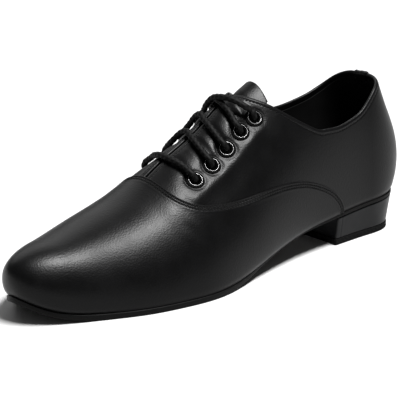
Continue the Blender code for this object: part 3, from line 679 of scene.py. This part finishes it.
def lift_rubber():
    """Black rubber of the top lift, cut rough at its edge."""
    made = Finish("lift_rubber", (0.0018, 0.0018, 0.0018), 0.8, 0.10)
    grit = made.noise(900.0, 5.0, 0.7)
    made.tint(grit, (0.35, 0.0008), (0.75, 0.0035))
    made.bump(grit, 0.0004, 0.8)
    return made.material


def enamel():
    """Black lacquer on the eyelet's flange."""
    made = Finish("black_lacquer", (0.0008, 0.0008, 0.0008), 0.6, 0.03)
    fine = made.noise(1600.0, 2.0)
    made.tint(fine, (0.3, 0.0005), (0.8, 0.0012))
    made.bump(fine, 0.00003, 0.3)
    return made.material


def steel_rim_painted_highlight():
    """Rolled rim of the eyelet, bare steel with fine drawing marks, made light so that it also stands in for
    the highlight along the crest: partly its own colour, partly painted highlight.
    """
    made = Finish("steel_rim_and_painted_highlight", (0.22, 0.22, 0.23), 0.34, 0.5, metallic=1.0)
    marks = made.noise(2500.0, 2.0)
    made.tint(marks, (0.3, 0.15), (0.7, 0.28))
    made.polish(marks, (0.0, 1.0), (0.22, 0.42))
    return made.material


def braid():
    """Waxed black cord: two sets of strands cross, high where both are high, and fibres run over them. Its
    colour is painted shade in the hollows between strands and painted highlight on their crowns.

    A strand's height is a zigzag of v + 4u or v - 4u, u being the turn and v the length in pitches.
    """
    made = Finish("braided_cord", (0.003, 0.003, 0.003), 0.6, 0.10)

    def maths(operation, *values):
        return made.node("ShaderNodeMath", list(enumerate(values)), operation=operation).outputs[0]

    split = made.node("ShaderNodeSeparateXYZ", [
        ("Vector", made.node("ShaderNodeUVMap", uv_map="UVMap").outputs["UV"])])
    turned = maths("MULTIPLY", split.outputs["X"], 4.0)
    waves = [maths("PINGPONG", maths("MULTIPLY_ADD", split.outputs["Y"], sign, turned), 0.5)
             for sign in (1.0, -1.0)]
    height = maths("MULTIPLY", *waves)
    # painted shade and highlight: the colour follows the strands' height, darkest in the hollows and lightest
    # on the crowns
    made.tint(height, (0.0, 0.0005), (0.12, 0.0062))
    made.bump(height, 0.0007, 0.7)
    made.bump(made.noise(3200.0, 3.0), 0.0001, 0.5)
    return made.material


def sewing_thread():
    """Bonded black thread."""
    made = Finish("black_thread", (0.003, 0.003, 0.0033), 0.5, 0.15)
    twist = made.noise(5200.0, 2.0)
    made.tint(twist, (0.3, 0.001), (0.7, 0.003))
    made.bump(twist, 0.00006, 0.6)
    return made.material


# The upper

def quarter_rows():
    """Rows of a quarter: the vamp's edge up to the squeeze, then shares of the way to the leather's edge."""
    lower = np.concatenate([np.linspace(0, 0.30, 46), np.linspace(0.30, 0.89, 50)[1:]])
    share = 1 - (1 - np.linspace(0, 1, 56))**1.45
    way = np.linspace(0.86, 1.0, 600)
    psi = seam_at(way)[1]
    upper = np.interp(SQUEEZE + (np.pi / 2 - SQUEEZE) * share, psi, way)
    lower = lower[lower < np.interp(SQUEEZE, psi, way) - 0.003]
    return np.concatenate([lower, upper]), np.concatenate([np.full(len(lower), -1.0), share])


def quarter_columns(dense=1.0):
    """Columns from the heel's back to just under the vamp: close together at the back seam and the facing."""
    corner = k_at(FACING_TOP) / seam_at(1.0)[0] * 0.86
    heel = -1 + np.linspace(0, 1, int(62 * dense))**1.5
    side = np.linspace(0, corner, int(72 * dense))
    front = np.linspace(corner, 1.02, int(120 * dense))
    return np.concatenate([heel, side[1:], front[1:]])


def quarter_places(side, columns, rows, inset):
    """k and psi over a quarter: rows follow the vamp's edge and even out into the leather's edge."""
    way, share = rows
    edge_k, edge_psi = seam_at(way)
    k = np.where(columns[:, None] <= 0, columns[:, None], columns[:, None] * edge_k)
    psi = np.broadcast_to(edge_psi, k.shape).copy()
    ks, limits = edge_line(side, inset)
    limit = np.interp(k, ks, limits)
    return k, np.where(share < 0, psi, SQUEEZE + (limit - SQUEEZE) * np.clip(share, 0, 1))


def eyelet_spots(side):
    share, across = np.array(EYELETS).T
    return instep(share, side * across, 0.0)


def facing_relief(points, k, side):
    """Height of the quarter's soft forms: dents at the eyelets, puckers that the lace pulls, and the roll
    of leather past the eyelets where the stiffening ends."""
    centres, _ = eyelet_spots(side)
    share = share_at(k)
    eyelet_share, eyelet_inset = np.array(EYELETS)[::-1].T
    far = np.linalg.norm(points[..., None, :] - centres, axis=-1)
    # a hollow round each eyelet, and a groove at its flange
    height = -(0.0010 * hump(far, 0.0068) + 0.00035 * hump(far - 0.0060, 0.0007)).sum(-1)
    ridge = last(np.linspace(k_at(0.40), k_at(0.67), 240), np.pi / 2, side)
    across = nearness(points, ridge)
    inset = np.interp(share, eyelet_share, eyelet_inset)
    along = np.interp(share, eyelet_share, np.arange(5.0)[::-1])
    # one pucker to an eyelet, from beside the slit to the eyelets, fading at both ends of the row
    window = smooth((across - 0.003) / 0.006) * smooth((inset + 0.001 - across) / 0.008)
    ends = smooth((share - 0.405) / 0.02) * smooth((0.640 - share) / 0.03)
    pucker = np.cos(2 * np.pi * along + 0.5 * np.sin(9.0 * along))
    # the roll, with a valley behind it
    roll = across - inset - np.interp(share, (0.42, 0.52, 0.62), (0.0062, 0.0068, 0.0074))
    height -= 0.00042 * pucker * window * ends
    return height + (0.00070 * hump(roll, 0.0034) - 0.00050 * hump(roll - 0.0080, 0.0060)) * ends


def soft_creases(points):
    """Shallow creases listed in CREASES: (start, end, depth, width), each a straight valley that fades out.
    """
    height = np.zeros(points.shape[:-1])
    for start, end, depth, width in CREASES:
        a, b = (instep(*place, 0.0)[0][0] for place in (start, end))
        way = np.clip(((points - a) @ (b - a)) / ((b - a) @ (b - a)), 0, 1)
        gap = np.linalg.norm(points - (a + way[..., None] * (b - a)), axis=-1)
        fade = np.sin(np.pi * np.clip(way, 0.02, 0.98))
        height += fade * depth * (0.45 * hump(gap - 2.1 * width, width) - hump(gap, width))
    return height


def tuck(points):
    """The leather turns in under itself just above the sole."""
    above = points[..., 2] - feather_height(share_of(points[..., 1]))
    return -0.0006 * hump(np.maximum(above, 0), 0.0017)


def eyelet_holes(points, side):
    """True for the grid's cells that lie clear of every eyelet's bore."""
    centres, _ = eyelet_spots(side)
    middle = (points[:-1, :-1] + points[1:, 1:]) / 2
    return (np.linalg.norm(middle[..., None, :] - centres, axis=-1) > EYELET_HOLE).all(-1)


def make_quarters(leather):
    """Quarters with their facings: the last's surface with relief, a half-round folded edge along the
    collar and the slit, and the turned-in leather behind it."""
    shape = Shape()
    columns = quarter_columns()
    rows = quarter_rows()
    turn = np.linspace(0, np.pi, 11)[:, None]
    for side in (1, -1):
        k, psi = quarter_places(side, columns, rows, EDGE_ROUND)
        base = last(k, psi, side)
        n = normals(k, psi, side)
        edge = base[:, -1]
        relief = facing_relief(base, k, side) + soft_creases(base) + tuck(base)
        relief -= 0.00022 * hump(base[..., 0], 0.0005) * (k < -0.9)      # the back seam
        away = nearness(base, edge)
        relief = relief * smooth(away / 0.004) + collar_groove(away) + 0.00010 * hump(away - 0.0007, 0.0005)
        outer = base + n * relief[..., None]
        out = unit(np.cross(np.gradient(edge, axis=0), n[:, -1]))
        out *= np.sign((out * (edge - base[:, -4])).sum(-1, keepdims=True))
        middle = edge - n[:, -1] * EDGE_ROUND
        roll = middle[:, None] + EDGE_ROUND * (np.cos(turn) * n[:, -1][:, None] + np.sin(turn) * out[:, None])
        inner = (base - n * WALL)[:, :-14:-1]
        sheet = np.concatenate([outer, roll[:, 1:-1], inner], axis=1)
        keep = np.ones((sheet.shape[0] - 1, sheet.shape[1] - 1), bool)
        keep[:, :base.shape[1] - 1] = eyelet_holes(base, side)
        keep[:, -12:] &= eyelet_holes(inner, side)
        shape.grid(sheet, keep=keep)
    shape.piece("quarters", [leather], "upper_leather", ["upper"])


def collar_groove(away):
    """A shallow groove that the collar's stitch row pulls into the leather, with a slight puff beside it."""
    return -0.00020 * hump(away - ROW_COLLAR, 0.00038) + 0.00005 * hump(away - ROW_COLLAR * 0.45, 0.0005)


def vamp_places(side, way, band, body):
    """k, psi and distance from the vamp's edge: offsets square to the edge, then blended to the toe."""
    k0, p0 = seam_at(way)
    step = 1e-4
    base = last(k0, p0, side)
    by_k = (last(k0 + step, p0, side) - last(k0 - step, p0, side)) / (2 * step)
    high, low = np.minimum(p0 + step, np.pi / 2), np.maximum(p0 - step, 0)
    by_p = (last(k0, high, side) - last(k0, low, side)) / (high - low)[:, None]
    along = np.gradient(base, axis=0)
    inward = unit(np.cross(normals(k0, p0, side), along))
    inward *= np.sign((inward * by_k).sum(-1, keepdims=True))
    a, b, c = (by_k**2).sum(-1), (by_k * by_p).sum(-1), (by_p**2).sum(-1)
    d, e = (inward * by_k).sum(-1), (inward * by_p).sum(-1)
    det = a * c - b * b
    dk, dp = (d * c - e * b) / det, (e * a - d * b) / det
    dp *= smooth(way / 0.03) * smooth((1 - way) / 0.012)
    k = k0 + dk * band[:, None]
    psi = np.clip(p0 + dp * band[:, None], 0, np.pi / 2)
    t = np.sin(body * np.pi / 2)[:, None]
    kb = k[-1] + (1 - k[-1]) * t
    ease = smooth(t)
    pb = psi[-1] * (1 - ease) + np.linspace(0, np.pi / 2, len(way)) * ease
    reach = np.concatenate([np.broadcast_to(band[:, None], k.shape), np.full(kb.shape, 1.0)])
    return np.concatenate([k, kb]), np.concatenate([psi, pb]), reach


def seam_ways(count):
    """Shares of the way along the vamp's edge that lie evenly on the leather."""
    way = np.linspace(0, 1, 2000)
    run = run_of(last(*seam_at(way), 1))
    return np.interp(np.linspace(0, run[-1], count), run, way)


def vamp_height(reach):
    """Rise of the vamp above the quarters: a folded edge, then a groove at each stitch row."""
    fold = np.sqrt(np.clip(1 - (1 - np.clip(reach / FOLD_ROUND, 0, 1))**2, 0, 1))
    height = -CLEARANCE + (VAMP_STEP + CLEARANCE) * fold
    # rise, distance from the edge, width
    for rise, place, width in ((0.00020, 0.0006, 0.0005), (-0.00030, ROW_NEAR, 0.00036),
                               (-0.00030, ROW_FAR, 0.00036), (0.00010, 0.0024, 0.0004),
                               (0.00008, 0.0044, 0.0008)):
        height += rise * hump(reach - place, width)
    return height


def make_vamp(leather):
    """Vamp: one sheet from its folded edge to the toe, raised over the quarters."""
    shape = Shape()
    way = seam_ways(150)
    band = VAMP_BAND * np.linspace(0, 1, 31)**1.15
    body = np.linspace(0, 1, 172)[1:]
    for side in (1, -1):
        k, psi, reach = vamp_places(side, way, band, body)
        base = last(k, psi, side)
        relief = vamp_height(reach) + tuck(base) + soft_creases(base) * smooth(reach / 0.006)
        shape.grid(base + normals(k, psi, side) * relief[..., None])
    shape.piece("vamp", [leather], "upper_leather", ["upper"])


def make_lining(hide):
    """Lining: the last's surface inside the wall, from below the collar's fold to the feather line, and
    the same under the vamp."""
    shape = Shape()
    rows = [np.append(row[::3], 1.0) for row in quarter_rows()]
    columns = quarter_columns(0.5)
    for side in (1, -1):
        k, psi = quarter_places(side, columns, rows, EDGE_ROUND + 0.0030)
        base = last(k, psi, side)
        n = normals(k, psi, side)
        lip = np.stack([base[:, -1] - n[:, -1] * (WALL + d) for d in (0.0003, 0.0001, -0.0003)], axis=1)
        sheet = np.concatenate([base - n * (WALL + 0.0004), lip], axis=1)
        keep = np.ones((sheet.shape[0] - 1, sheet.shape[1] - 1), bool)
        keep[:, :base.shape[1] - 1] = eyelet_holes(base, side)
        shape.grid(sheet, keep=keep)
        k, psi, _ = vamp_places(side, seam_ways(60), np.linspace(-0.004, 0.006, 6), np.linspace(0, 1, 50)[1:])
        shape.grid(lifted(k, psi, side, -WALL - 0.0006))
    shape.piece("lining", [hide], "insole_leather", ["upper"], flip=True)


# Sewing

def stitches(shape, curve, normal):
    """One short bowed rod of thread for every pitch of the curve, its ends drawn into the leather."""
    run = run_of(curve)
    count = max(int(run[-1] / STITCH), 1)
    pitch = run[-1] / count
    t = np.linspace(-0.5, 0.5, 6)
    where = (np.arange(count)[:, None] + 0.5) * pitch + t * pitch * STITCH_SHOWN

    def read(line):
        return np.stack([np.interp(where, run, line[:, c]) for c in range(3)], -1)

    up, along = unit(read(normal)), unit(read(np.gradient(curve, axis=0)))
    across = np.cross(along, up)
    bow = 1 - (2 * np.abs(t))**2.5
    centre = read(curve) + up * (THREAD * (1.25 * bow - 0.75))[None, :, None]
    turn = np.linspace(0, 2 * np.pi, 6, endpoint=False)[:, None]
    radius = THREAD * (0.55 + 0.45 * bow)[None, :, None, None]
    rods = centre[:, :, None] + radius * (across[:, :, None] * np.cos(turn)
                                          + up[:, :, None] * np.sin(turn) * 0.85)
    for rod in rods:
        shape.grid(rod, closed=True)


def make_stitching(thread):
    """Two rows along the vamp's edge, and one along the collar, the facing's top and the slit."""
    shape = Shape()
    for side in (1, -1):
        rows = []
        for row in (ROW_NEAR, ROW_FAR):
            k, psi, _ = vamp_places(side, seam_ways(500), np.array([0.0, row]), np.array([1.0]))
            rows.append((k[1], psi[1], VAMP_STEP))
        k, psi = edge_line(side, EDGE_ROUND + ROW_COLLAR)
        sewn = (k >= COLLAR_SEWN[0]) & (k <= COLLAR_SEWN[1])
        rows.append((k[sewn], psi[sewn], 0.0))
        for k, psi, rise in rows:
            stitches(shape, lifted(k, psi, side, rise - THREAD_SINK), normals(k, psi, side))
    shape.piece("stitching", [thread], "upper_leather", ["upper"])


# Eyelets and lace

def make_eyelets(lacquer, steel):
    """Each eyelet is its profile turned about the leather's normal: black flange, and a rolled rim of light
    steel that is partly its own colour and partly painted highlight on the crest.
    """
    radius, height = np.array(EYELET_PROFILE).T[:, :, None, None] * MM
    turn = np.linspace(0, 2 * np.pi, 48, endpoint=False)[:, None]
    low, high = STEEL_AND_HIGHLIGHT_RIM
    # painted highlight in part: the crest's faces between these radii take the light steel, which also stands
    # in for the crest's highlight
    steel_and_highlight = ((radius > low) & (radius < high) & (height > 0))[:-1, :, 0].astype(int)
    for side, word in ((1, "outer"), (-1, "inner")):
        for number, (point, axis) in enumerate(zip(*eyelet_spots(side)), 1):
            a = unit(np.cross(axis, (0, 1, 0)))
            ring = a * np.cos(turn) + np.cross(axis, a) * np.sin(turn)
            shape = Shape()
            shape.grid(point + radius * ring + (height - EYELET_SINK) * axis, closed=True, mark=steel_and_highlight)
            shape.piece(f"eyelet_{word}_{number}", [lacquer, steel], "eyelet_metal",
                        [f"eyelet_{word}_{number}"])


def lace_points():
    """The whole lace as (share of length, distance from the ridge, height over the leather).

    It starts inside the top eyelet on the outer side and ends inside the top one on the inner side.
    """

    def into(eyelet, side, lean):
        """From over the leather down through an eyelet, leaning along the length as it comes in."""
        share, across = EYELETS[eyelet]
        return [(share + 0.35 * lean, side * (across - 4.6 * MM), 2.7 * MM),
                (share + 0.15 * lean, side * (across - 2.0 * MM), 2.1 * MM),
                (share, side * (across - 0.3 * MM), 0.2 * MM),
                (share, side * across, -2.0 * MM)]

    points = []
    for hidden, start, end, strand in LACE:
        points += [(share, across * MM, LACE_UNDER) for share, across in hidden]
        points += into(*start)[::-1]
        points += [(share, across * MM, height * MM) for share, across, height in strand]
        points += into(*end)
    return points + [(EYELETS[-1][0], -19.0 * MM, LACE_UNDER)]


def make_lace(cord):
    """The lace: a round section with a woven swell carried along one smooth curve.

    The radius is R(0.95 + s sin(4a + w) sin(4a - w)), a the turn and w the length over the braid's pitch.
    """
    share, across, height = np.array(lace_points()).T
    path = smooth_path(instep(share, across, height)[0], 0.00042)
    along = unit(np.gradient(path, axis=0))
    ridge = unit(np.array([0.0, 0.86, 0.51]))      # the way that the instep rises
    a = unit(ridge - along * (along @ ridge)[:, None])
    b = np.cross(along, a)
    turn = np.linspace(0, 2 * np.pi, 24, endpoint=False)
    run = run_of(path)[:, None] / BRAID_PITCH
    radius = LACE_RADIUS * (0.95 + 0.10 * np.sin(4 * turn + run * np.pi) * np.sin(4 * turn - run * np.pi))
    ring = np.cos(turn)[:, None] * a[:, None] + np.sin(turn)[:, None] * b[:, None]
    uv = np.stack(np.broadcast_arrays(turn / (2 * np.pi), run), -1)
    Shape().grid(path[:, None] + radius[..., None] * ring, closed=True, uv=uv).piece(
        "lace", [cord], "lace_cord", ["lace_bar_1", "lace_cross_2", "lace_cross_3", "lace_cross_4"])


# Tongue, tab and insole

def stadium(half, thick, flat, bend):
    """A flat strip's section with round edges: across and up, once round."""
    a = np.linspace(-1, 1, flat)
    t = np.linspace(np.pi / 2, -np.pi / 2, bend + 2)[1:-1]
    across = np.concatenate([a * (half - thick), half - thick + np.cos(t) * thick,
                             -a * (half - thick), -(half - thick) - np.cos(t) * thick])
    up = np.concatenate([np.full(flat, thick), np.sin(t) * thick, np.full(flat, -thick), -np.sin(t) * thick])
    return across, up


def make_tongue(leather):
    """Tongue: a thin round-edged strip carried along the ridge, sunk to leave the lace room."""
    half = TONGUE_HALF_THICKNESS
    cap = np.linspace(0, np.pi / 2, 5)[1:]
    body = np.concatenate([np.linspace(TONGUE_TOP, TONGUE_TOP + 0.03, 14),
                           np.linspace(TONGUE_TOP + 0.03, TONGUE_END, 60)[1:]])
    share = np.concatenate([(TONGUE_TOP - half * np.sin(cap) / LENGTH)[::-1], body,
                            TONGUE_END + half * np.sin(cap) / LENGTH])
    thick = np.concatenate([(half * np.cos(cap))[::-1], np.full(len(body), half), half * np.cos(cap)])
    thick = np.maximum(thick, 1e-5)
    corner = np.clip((share - TONGUE_TOP) / 0.016, 0, 1)
    width = TONGUE_HALF_WIDTH * (0.84 + 0.16 * np.sqrt(1 - (1 - corner)**2))
    width = width * (1 - 0.35 * np.clip((share - 0.5) / 0.2, 0, None))
    depth = -(WALL + 0.0008 + half) - 0.0034 * smooth((share - 0.405) / 0.05)
    lines = []
    for s, t, w, d in zip(share, thick, width, depth):
        across, up = stadium(w, t, 34, 5)
        wave = 0.0003 * np.cos(across / 0.0045) * smooth((0.45 - s) / 0.04)
        lines.append(instep(s, across, up + d + wave)[0])
    Shape().grid(np.array(lines), closed=True).piece("tongue", [leather], "tongue_leather", ["tongue"])


def make_tab(leather, thread):
    """Pull tab: a strip carried up the outside of the heel, over the folded edge and down inside."""
    c = np.linspace(-1, 1, 31)
    reach = TAB_HALF_WIDTH / (0.5 * np.pi * BALL_WIDTH * PLAN[0][1] * 0.9)
    turn = np.linspace(0, np.pi, 11)[1:-1, None]
    body = TAB_BODY * np.sqrt(np.clip(1 - (np.clip((np.abs(c) - 0.84) / 0.16, 0, 1))**2, 0, 1))
    # distances from the collar's edge, where the strip ends, its underside's height, and which way is out
    parts = ((np.linspace(TAB_OUTSIDE, EDGE_ROUND, 16), TAB_OUTSIDE, TAB_GAP, 1),
             (np.linspace(EDGE_ROUND, TAB_INSIDE, 12), TAB_INSIDE, -WALL - TAB_GAP, -1))
    rows, seam, seam_normal = [], [], []
    for value, thick in zip(c, body):
        side = 1 if value >= 0 else -1
        k = np.array(-1 + reach * abs(value))
        end = float(np.interp(k, *edge_line(side, 0.0)))
        psi = np.linspace(end, end - 0.6, 120)
        line = last(k, psi, side)
        run = run_of(line)
        out, tip = normals(k, end, side), line[0]
        up = unit(tip - line[7])
        middle = tip - up * EDGE_ROUND - out * EDGE_ROUND
        layers = []
        for cover in (thick, 0.0):
            ends = []
            for places, limit, height, way in parts:
                taper = np.sqrt(np.clip((limit - places) / TAB_BODY, 0, 1))
                ends.append(lifted(k, np.interp(places, run, psi), side, height + way * cover * taper))
            over = middle + (EDGE_ROUND + TAB_GAP + cover) * (np.cos(turn) * out + np.sin(turn) * up)
            layers.append(np.concatenate([ends[0], over, ends[1]]))
        rows.append(np.concatenate([layers[0], layers[1][::-1]]))
        seam.append(lifted(k, np.interp(TAB_OUTSIDE - ROW_NEAR, run, psi), side, thick))
        seam_normal.append(out)
    grid, seam, seam_normal = np.array(rows), np.array(seam), np.array(seam_normal)
    Shape().grid(grid, closed=True).piece("heel_tab", [leather], "tab_leather", ["heel_tab"])
    shape = Shape()
    stitches(shape, seam[4:-4], seam_normal[4:-4])
    for column in (4, 26):
        line = grid[column, 2:36]
        stitches(shape, line - seam_normal[column] * 0.00005, unit(line - grid[column].mean(0)))
    shape.piece("tab_stitching", [thread], "tab_leather", ["heel_tab"])


def outline(k, side, margin):
    """Feather line moved outward by the margin, in plan."""
    point = last(k, 0.0, side)
    return (point + normals(k, 0.0, side) * np.asarray(margin)[..., None])[..., :2]


def rim_stations(count):
    """Stations along the feather line, drawn together at the heel's back and at the toe."""
    heel = -np.cos(np.linspace(0, np.pi / 2, count // 3))
    front = np.sin(np.linspace(0, np.pi / 2, count))
    return np.concatenate([heel, front[1:]])


def plate(name, finishes, slot, k, margin, profile, top, bottom, marks=(0, 0, 0)):
    """A flat piece: its rounded rim is a profile carried round the outline, then its two faces.

    profile lists (inset, share of the way from bottom to top); top and bottom give heights at y.
    """
    def lift(plan, share):
        y = plan[..., 1]
        return np.concatenate([plan[..., :2], (bottom(y) * (1 - share) + top(y) * share)[..., None]], -1)

    rims = [np.array([lift(outline(k, side, margin - inset), share) for inset, share in profile])
            for side in (1, -1)]
    shape = Shape()
    shape.grid(np.concatenate([rims[0], rims[1][:, ::-1]], axis=1), closed=True, mark=marks[0])
    t = np.linspace(0, 1, 40)[:, None, None]
    for end, mark in ((0, marks[1]), (-1, marks[2])):
        shape.grid(lift(rims[0][end] * (1 - t) + rims[1][end] * t, profile[end][1]), mark=mark)
    shape.piece(name, finishes, slot, [name])


def rounded_profile(thickness, low, high, inside=0.0012):
    """Rim of a sheet with rounded lower and upper corners, from its bottom face to its top face."""
    a = np.linspace(0, np.pi / 2, 6)
    lower = [(low * (1 - np.sin(t)), low * (1 - np.cos(t)) / thickness) for t in a]
    upper = [(high * (1 - np.cos(t)), 1 - high * (1 - np.sin(t)) / thickness) for t in a]
    side = [(0.0, s) for s in np.linspace(lower[-1][1], upper[0][1], 5)[1:-1]]
    return [(low + inside, 0.0)] + lower + side + upper + [(high + inside, 1.0)]


def sole_thickness(y):
    way = smooth((-y / LENGTH - WAIST_END) / (TREAD_START - WAIST_END))
    return SOLE_THICKNESS * (1 - WAIST_THINNING * (1 - way))


def sole_margin(k):
    """How far the outsole's rim stands out past the leather: drawn in at the waist."""
    share = np.where(k < 0, 0, share_at(k))
    waist = -1.6 * np.clip(1 - np.abs(share - 0.36) / 0.16, 0, 1)
    return SOLE_MARGIN * (smooth((share - 0.45) / 0.17) + waist)


def make_outsole(nap, edge):
    """Outsole: a thin sheet under the whole shoe, round-cornered, its underside napped."""
    k = rim_stations(220)
    plate("outsole", [nap, edge], "sole_leather", k, sole_margin(k),
          rounded_profile(SOLE_THICKNESS, 0.0006, 0.0005), lambda y: bed_height(share_of(y)),
          lambda y: bed_height(share_of(y)) - sole_thickness(y), marks=(1, 0, 1))


def make_insole(hide):
    """Sock: a soft sheet over the whole bed, round at its rim."""
    plate("insole", [hide], "insole_leather", rim_stations(110), -(WALL + 0.0010),
          rounded_profile(INSOLE_THICKNESS, 0.0003, 0.0009),
          lambda y: feather_height(share_of(y)) + INSOLE_THICKNESS, lambda y: feather_height(share_of(y)))


# Heel

def heel_loop(drop, inset):
    """Plan of the heel at a level: the seat's outline drawn in, its corners rounded, a hollow breast.

    drop goes from 0 at the seat to 1 at the floor. The loop is read at even steps from the middle of
    the breast, and a short bell average along it rounds the two corners.
    """
    breast = k_at(HEEL_LENGTH / LENGTH)
    k = np.concatenate([np.linspace(breast, 0, 24), -np.sin(np.linspace(0, np.pi / 2, 40))[1:]])
    back = np.sin(np.clip(-k, 0, 1) * np.pi / 2)**2
    sides = []
    for side in (1, -1):
        plan = outline(k, side, -CLEARANCE - HEEL_TAPER * drop * (1 - back) - inset)
        plan[:, 1] -= HEEL_RAKE * drop * back
        sides.append(plan)
    front = sides[0][0, 1] + inset
    for plan in sides:
        plan[0, 1] = front
    across = np.linspace(0, 1, 30)[:, None]
    face = sides[1][0] * (1 - across) + sides[0][0] * across
    face[:, 1] += 0.0012 * np.sin(np.pi * across[:, 0])
    loop = np.concatenate([face[15:], sides[0][1:], sides[1][-2::-1][:-1], face[:16]])
    run = run_of(loop)
    at = np.linspace(0, run[-1], HEEL_STEPS, endpoint=False)
    loop = np.stack([np.interp(at, run, loop[:, c]) for c in (0, 1)], -1)
    gap = np.minimum(at, run[-1] - at)
    bell = hump(gap, 0.0009)
    bell /= bell.sum()
    return np.stack([np.real(np.fft.ifft(np.fft.fft(loop[:, c]) * np.fft.fft(bell))) for c in (0, 1)], -1)


def heel_levels(bends, steps, sunk=0.0):
    """Levels of a heel piece from its base to its top: share of the way, inset and rise of the edge.

    Both edges are rounded, and the top one is drawn in by a further small distance.
    """
    corner = [(HEEL_CORNER * (1 - np.sin(b)), HEEL_CORNER * (1 - np.cos(b)))
              for b in np.linspace(0, np.pi / 2, bends)]
    wall = [(share, 0.0, HEEL_CORNER) for share in np.linspace(0, 1, steps)[1:-1]]
    return ([(0.0, inset, rise) for inset, rise in corner] + wall
            + [(1.0, inset + sunk * (inset > 0), rise) for inset, rise in corner[::-1]])


def heel_piece(name, finish, slot, loops, levels, base, top):
    """Stacks plan loops at their levels between the base and the top, and gathers both ends to a point."""
    rings = []
    for plan, (share, _, rise) in zip(loops, levels):
        z = np.full(len(plan), (base + rise) * (1 - share)) + (top(plan[:, 1]) - rise) * share
        rings.append(np.column_stack([plan, z]))
    floor, seat = ([ring.mean(0) + (ring - ring.mean(0)) * s for s in (0.0, 0.5, 0.9)]
                   for ring in (rings[0], rings[-1]))
    Shape().grid(np.array(floor + rings + seat[::-1]), closed=True).piece(name, [finish], slot, [name])


def make_heel(cover):
    """Covered block: loops from the lift to the seat, its edges turned in, a fold near the breast."""
    levels = heel_levels(5, 26, 0.0002)
    loops = np.array([heel_loop(1 - share, inset) for share, inset, _ in levels])
    wall = loops[8]
    place = np.arange(HEEL_STEPS) * np.linalg.norm(np.diff(wall, axis=0), axis=1).mean()
    half_breast = 0.5 * np.ptp(wall[:, 0])
    middle = loops.mean(1, keepdims=True)
    for distance in (place, place[::-1]):
        fold = 0.00015 * hump(distance - half_breast - 0.0026, 0.00045)
        fold = fold - 0.00006 * hump(distance - half_breast - 0.0038, 0.0006)
        loops = loops - unit(loops - middle) * fold[None, :, None]
    heel_piece("heel_block", cover, "heel_cover", loops, levels, LIFT_THICKNESS + CLEARANCE,
               lambda y: bed_height(share_of(y)) - sole_thickness(y) - CLEARANCE)


def make_lift(rubber):
    """Top lift: a slab under the heel with a roughly cut edge and rounded corners."""
    levels = heel_levels(4, 9)
    loops = np.array([heel_loop(1.0, inset - 0.0002) for _, inset, _ in levels])
    turn = np.linspace(0, 2 * np.pi, HEEL_STEPS, endpoint=False)
    level = np.linspace(0, 1, len(loops))[:, None]
    rough = (np.sin(61 * turn + 9 * level) + np.sin(97 * turn - 14 * level + 1.3)
             + np.sin(151 * turn + 5 * level))
    loops = loops - unit(loops - loops.mean(1, keepdims=True)) * (0.00009 * (rough + 1.5))[..., None]
    heel_piece("top_lift", rubber, "lift_rubber", loops, levels, 0.0, lambda y: LIFT_THICKNESS)


# Floor, lights and camera

def make_floor():
    """A plain white floor."""
    r = 8.0
    mesh = bpy.data.meshes.new("floor")
    mesh.from_pydata([(-r, -r, 0), (r, -r, 0), (r, r, 0), (-r, r, 0)], [], [(0, 1, 2, 3)])
    mesh.materials.append(Finish("pale_floor", (0.52, 0.52, 0.52), 0.9, 0.05).material)
    floor = bpy.data.objects.new("floor", mesh)
    bpy.context.scene.collection.objects.link(floor)


def direction(azimuth, elevation):
    """Unit vector; azimuth 0 is toward -Y, the toe, and 90 toward +X."""
    a, e = math.radians(azimuth), math.radians(elevation)
    return Vector((math.sin(a) * math.cos(e), -math.cos(a) * math.cos(e), math.sin(e)))


def soft_box(name, azimuth, elevation, distance, size, radiance):
    """An area light that faces the shoe: power is radiance times pi times its area."""
    light = bpy.data.lights.new(name, "AREA")
    light.shape = "RECTANGLE"
    light.size, light.size_y = size
    light.energy = radiance * math.pi * size[0] * size[1]
    obj = bpy.data.objects.new(name, light)
    bpy.context.scene.collection.objects.link(obj)
    toward = direction(azimuth, elevation)
    obj.location = toward * distance + Vector((0, 0, 0.04))
    obj.rotation_mode = "QUATERNION"
    obj.rotation_quaternion = toward.to_track_quat("Z", "Y")


def make_camera():
    """Long lens at the photograph's angle, rolled and shifted as it was framed."""
    camera = bpy.data.cameras.new("camera")
    camera.sensor_width = SENSOR
    camera.lens = FOCAL_PIXELS / PICTURE * SENSOR
    camera.shift_x, camera.shift_y = (shift / PICTURE for shift in SHIFT_PIXELS)
    camera.clip_start, camera.clip_end = 0.05, 50
    obj = bpy.data.objects.new("camera", camera)
    bpy.context.scene.collection.objects.link(obj)
    back = direction(CAMERA_AZIMUTH, CAMERA_ELEVATION)
    right = direction(CAMERA_AZIMUTH + 90, 0)
    up = back.cross(right)
    roll = math.radians(CAMERA_ROLL)
    side = right * math.cos(roll) - up * math.sin(roll)
    top = right * math.sin(roll) + up * math.cos(roll)
    place = Vector(CAMERA_TARGET) + Vector(MIDDLE) + back * CAMERA_DISTANCE
    obj.matrix_world = Matrix((
        (side.x, top.x, back.x, place.x),
        (side.y, top.y, back.y, place.y),
        (side.z, top.z, back.z, place.z),
        (0, 0, 0, 1),
    ))
    bpy.context.scene.camera = obj


def make_studio():
    """White floor, a pale room, one long box overhead and a broad pale panel behind to the left."""
    make_floor()
    scene = bpy.context.scene
    scene.world = bpy.data.worlds.new("pale_room")
    scene.world.use_nodes = True
    background = scene.world.node_tree.nodes["Background"]
    background.inputs["Color"].default_value = (1, 1, 1, 1)
    background.inputs["Strength"].default_value = ROOM
    scene.view_settings.view_transform = "Standard"
    for box in SOFT_BOXES:
        soft_box(*box)


def main():
    make_camera()
    make_studio()
    leather = calf()
    thread = sewing_thread()
    make_quarters(leather)
    make_vamp(leather)
    hide = lining_hide()
    make_lining(hide)
    make_stitching(thread)
    make_eyelets(enamel(), steel_rim_painted_highlight())
    make_lace(braid())
    make_tongue(leather)
    make_tab(leather, thread)
    make_insole(hide)
    make_outsole(napped_hide(), sole_edge())
    make_heel(heel_wrap())
    make_lift(lift_rubber())


main()
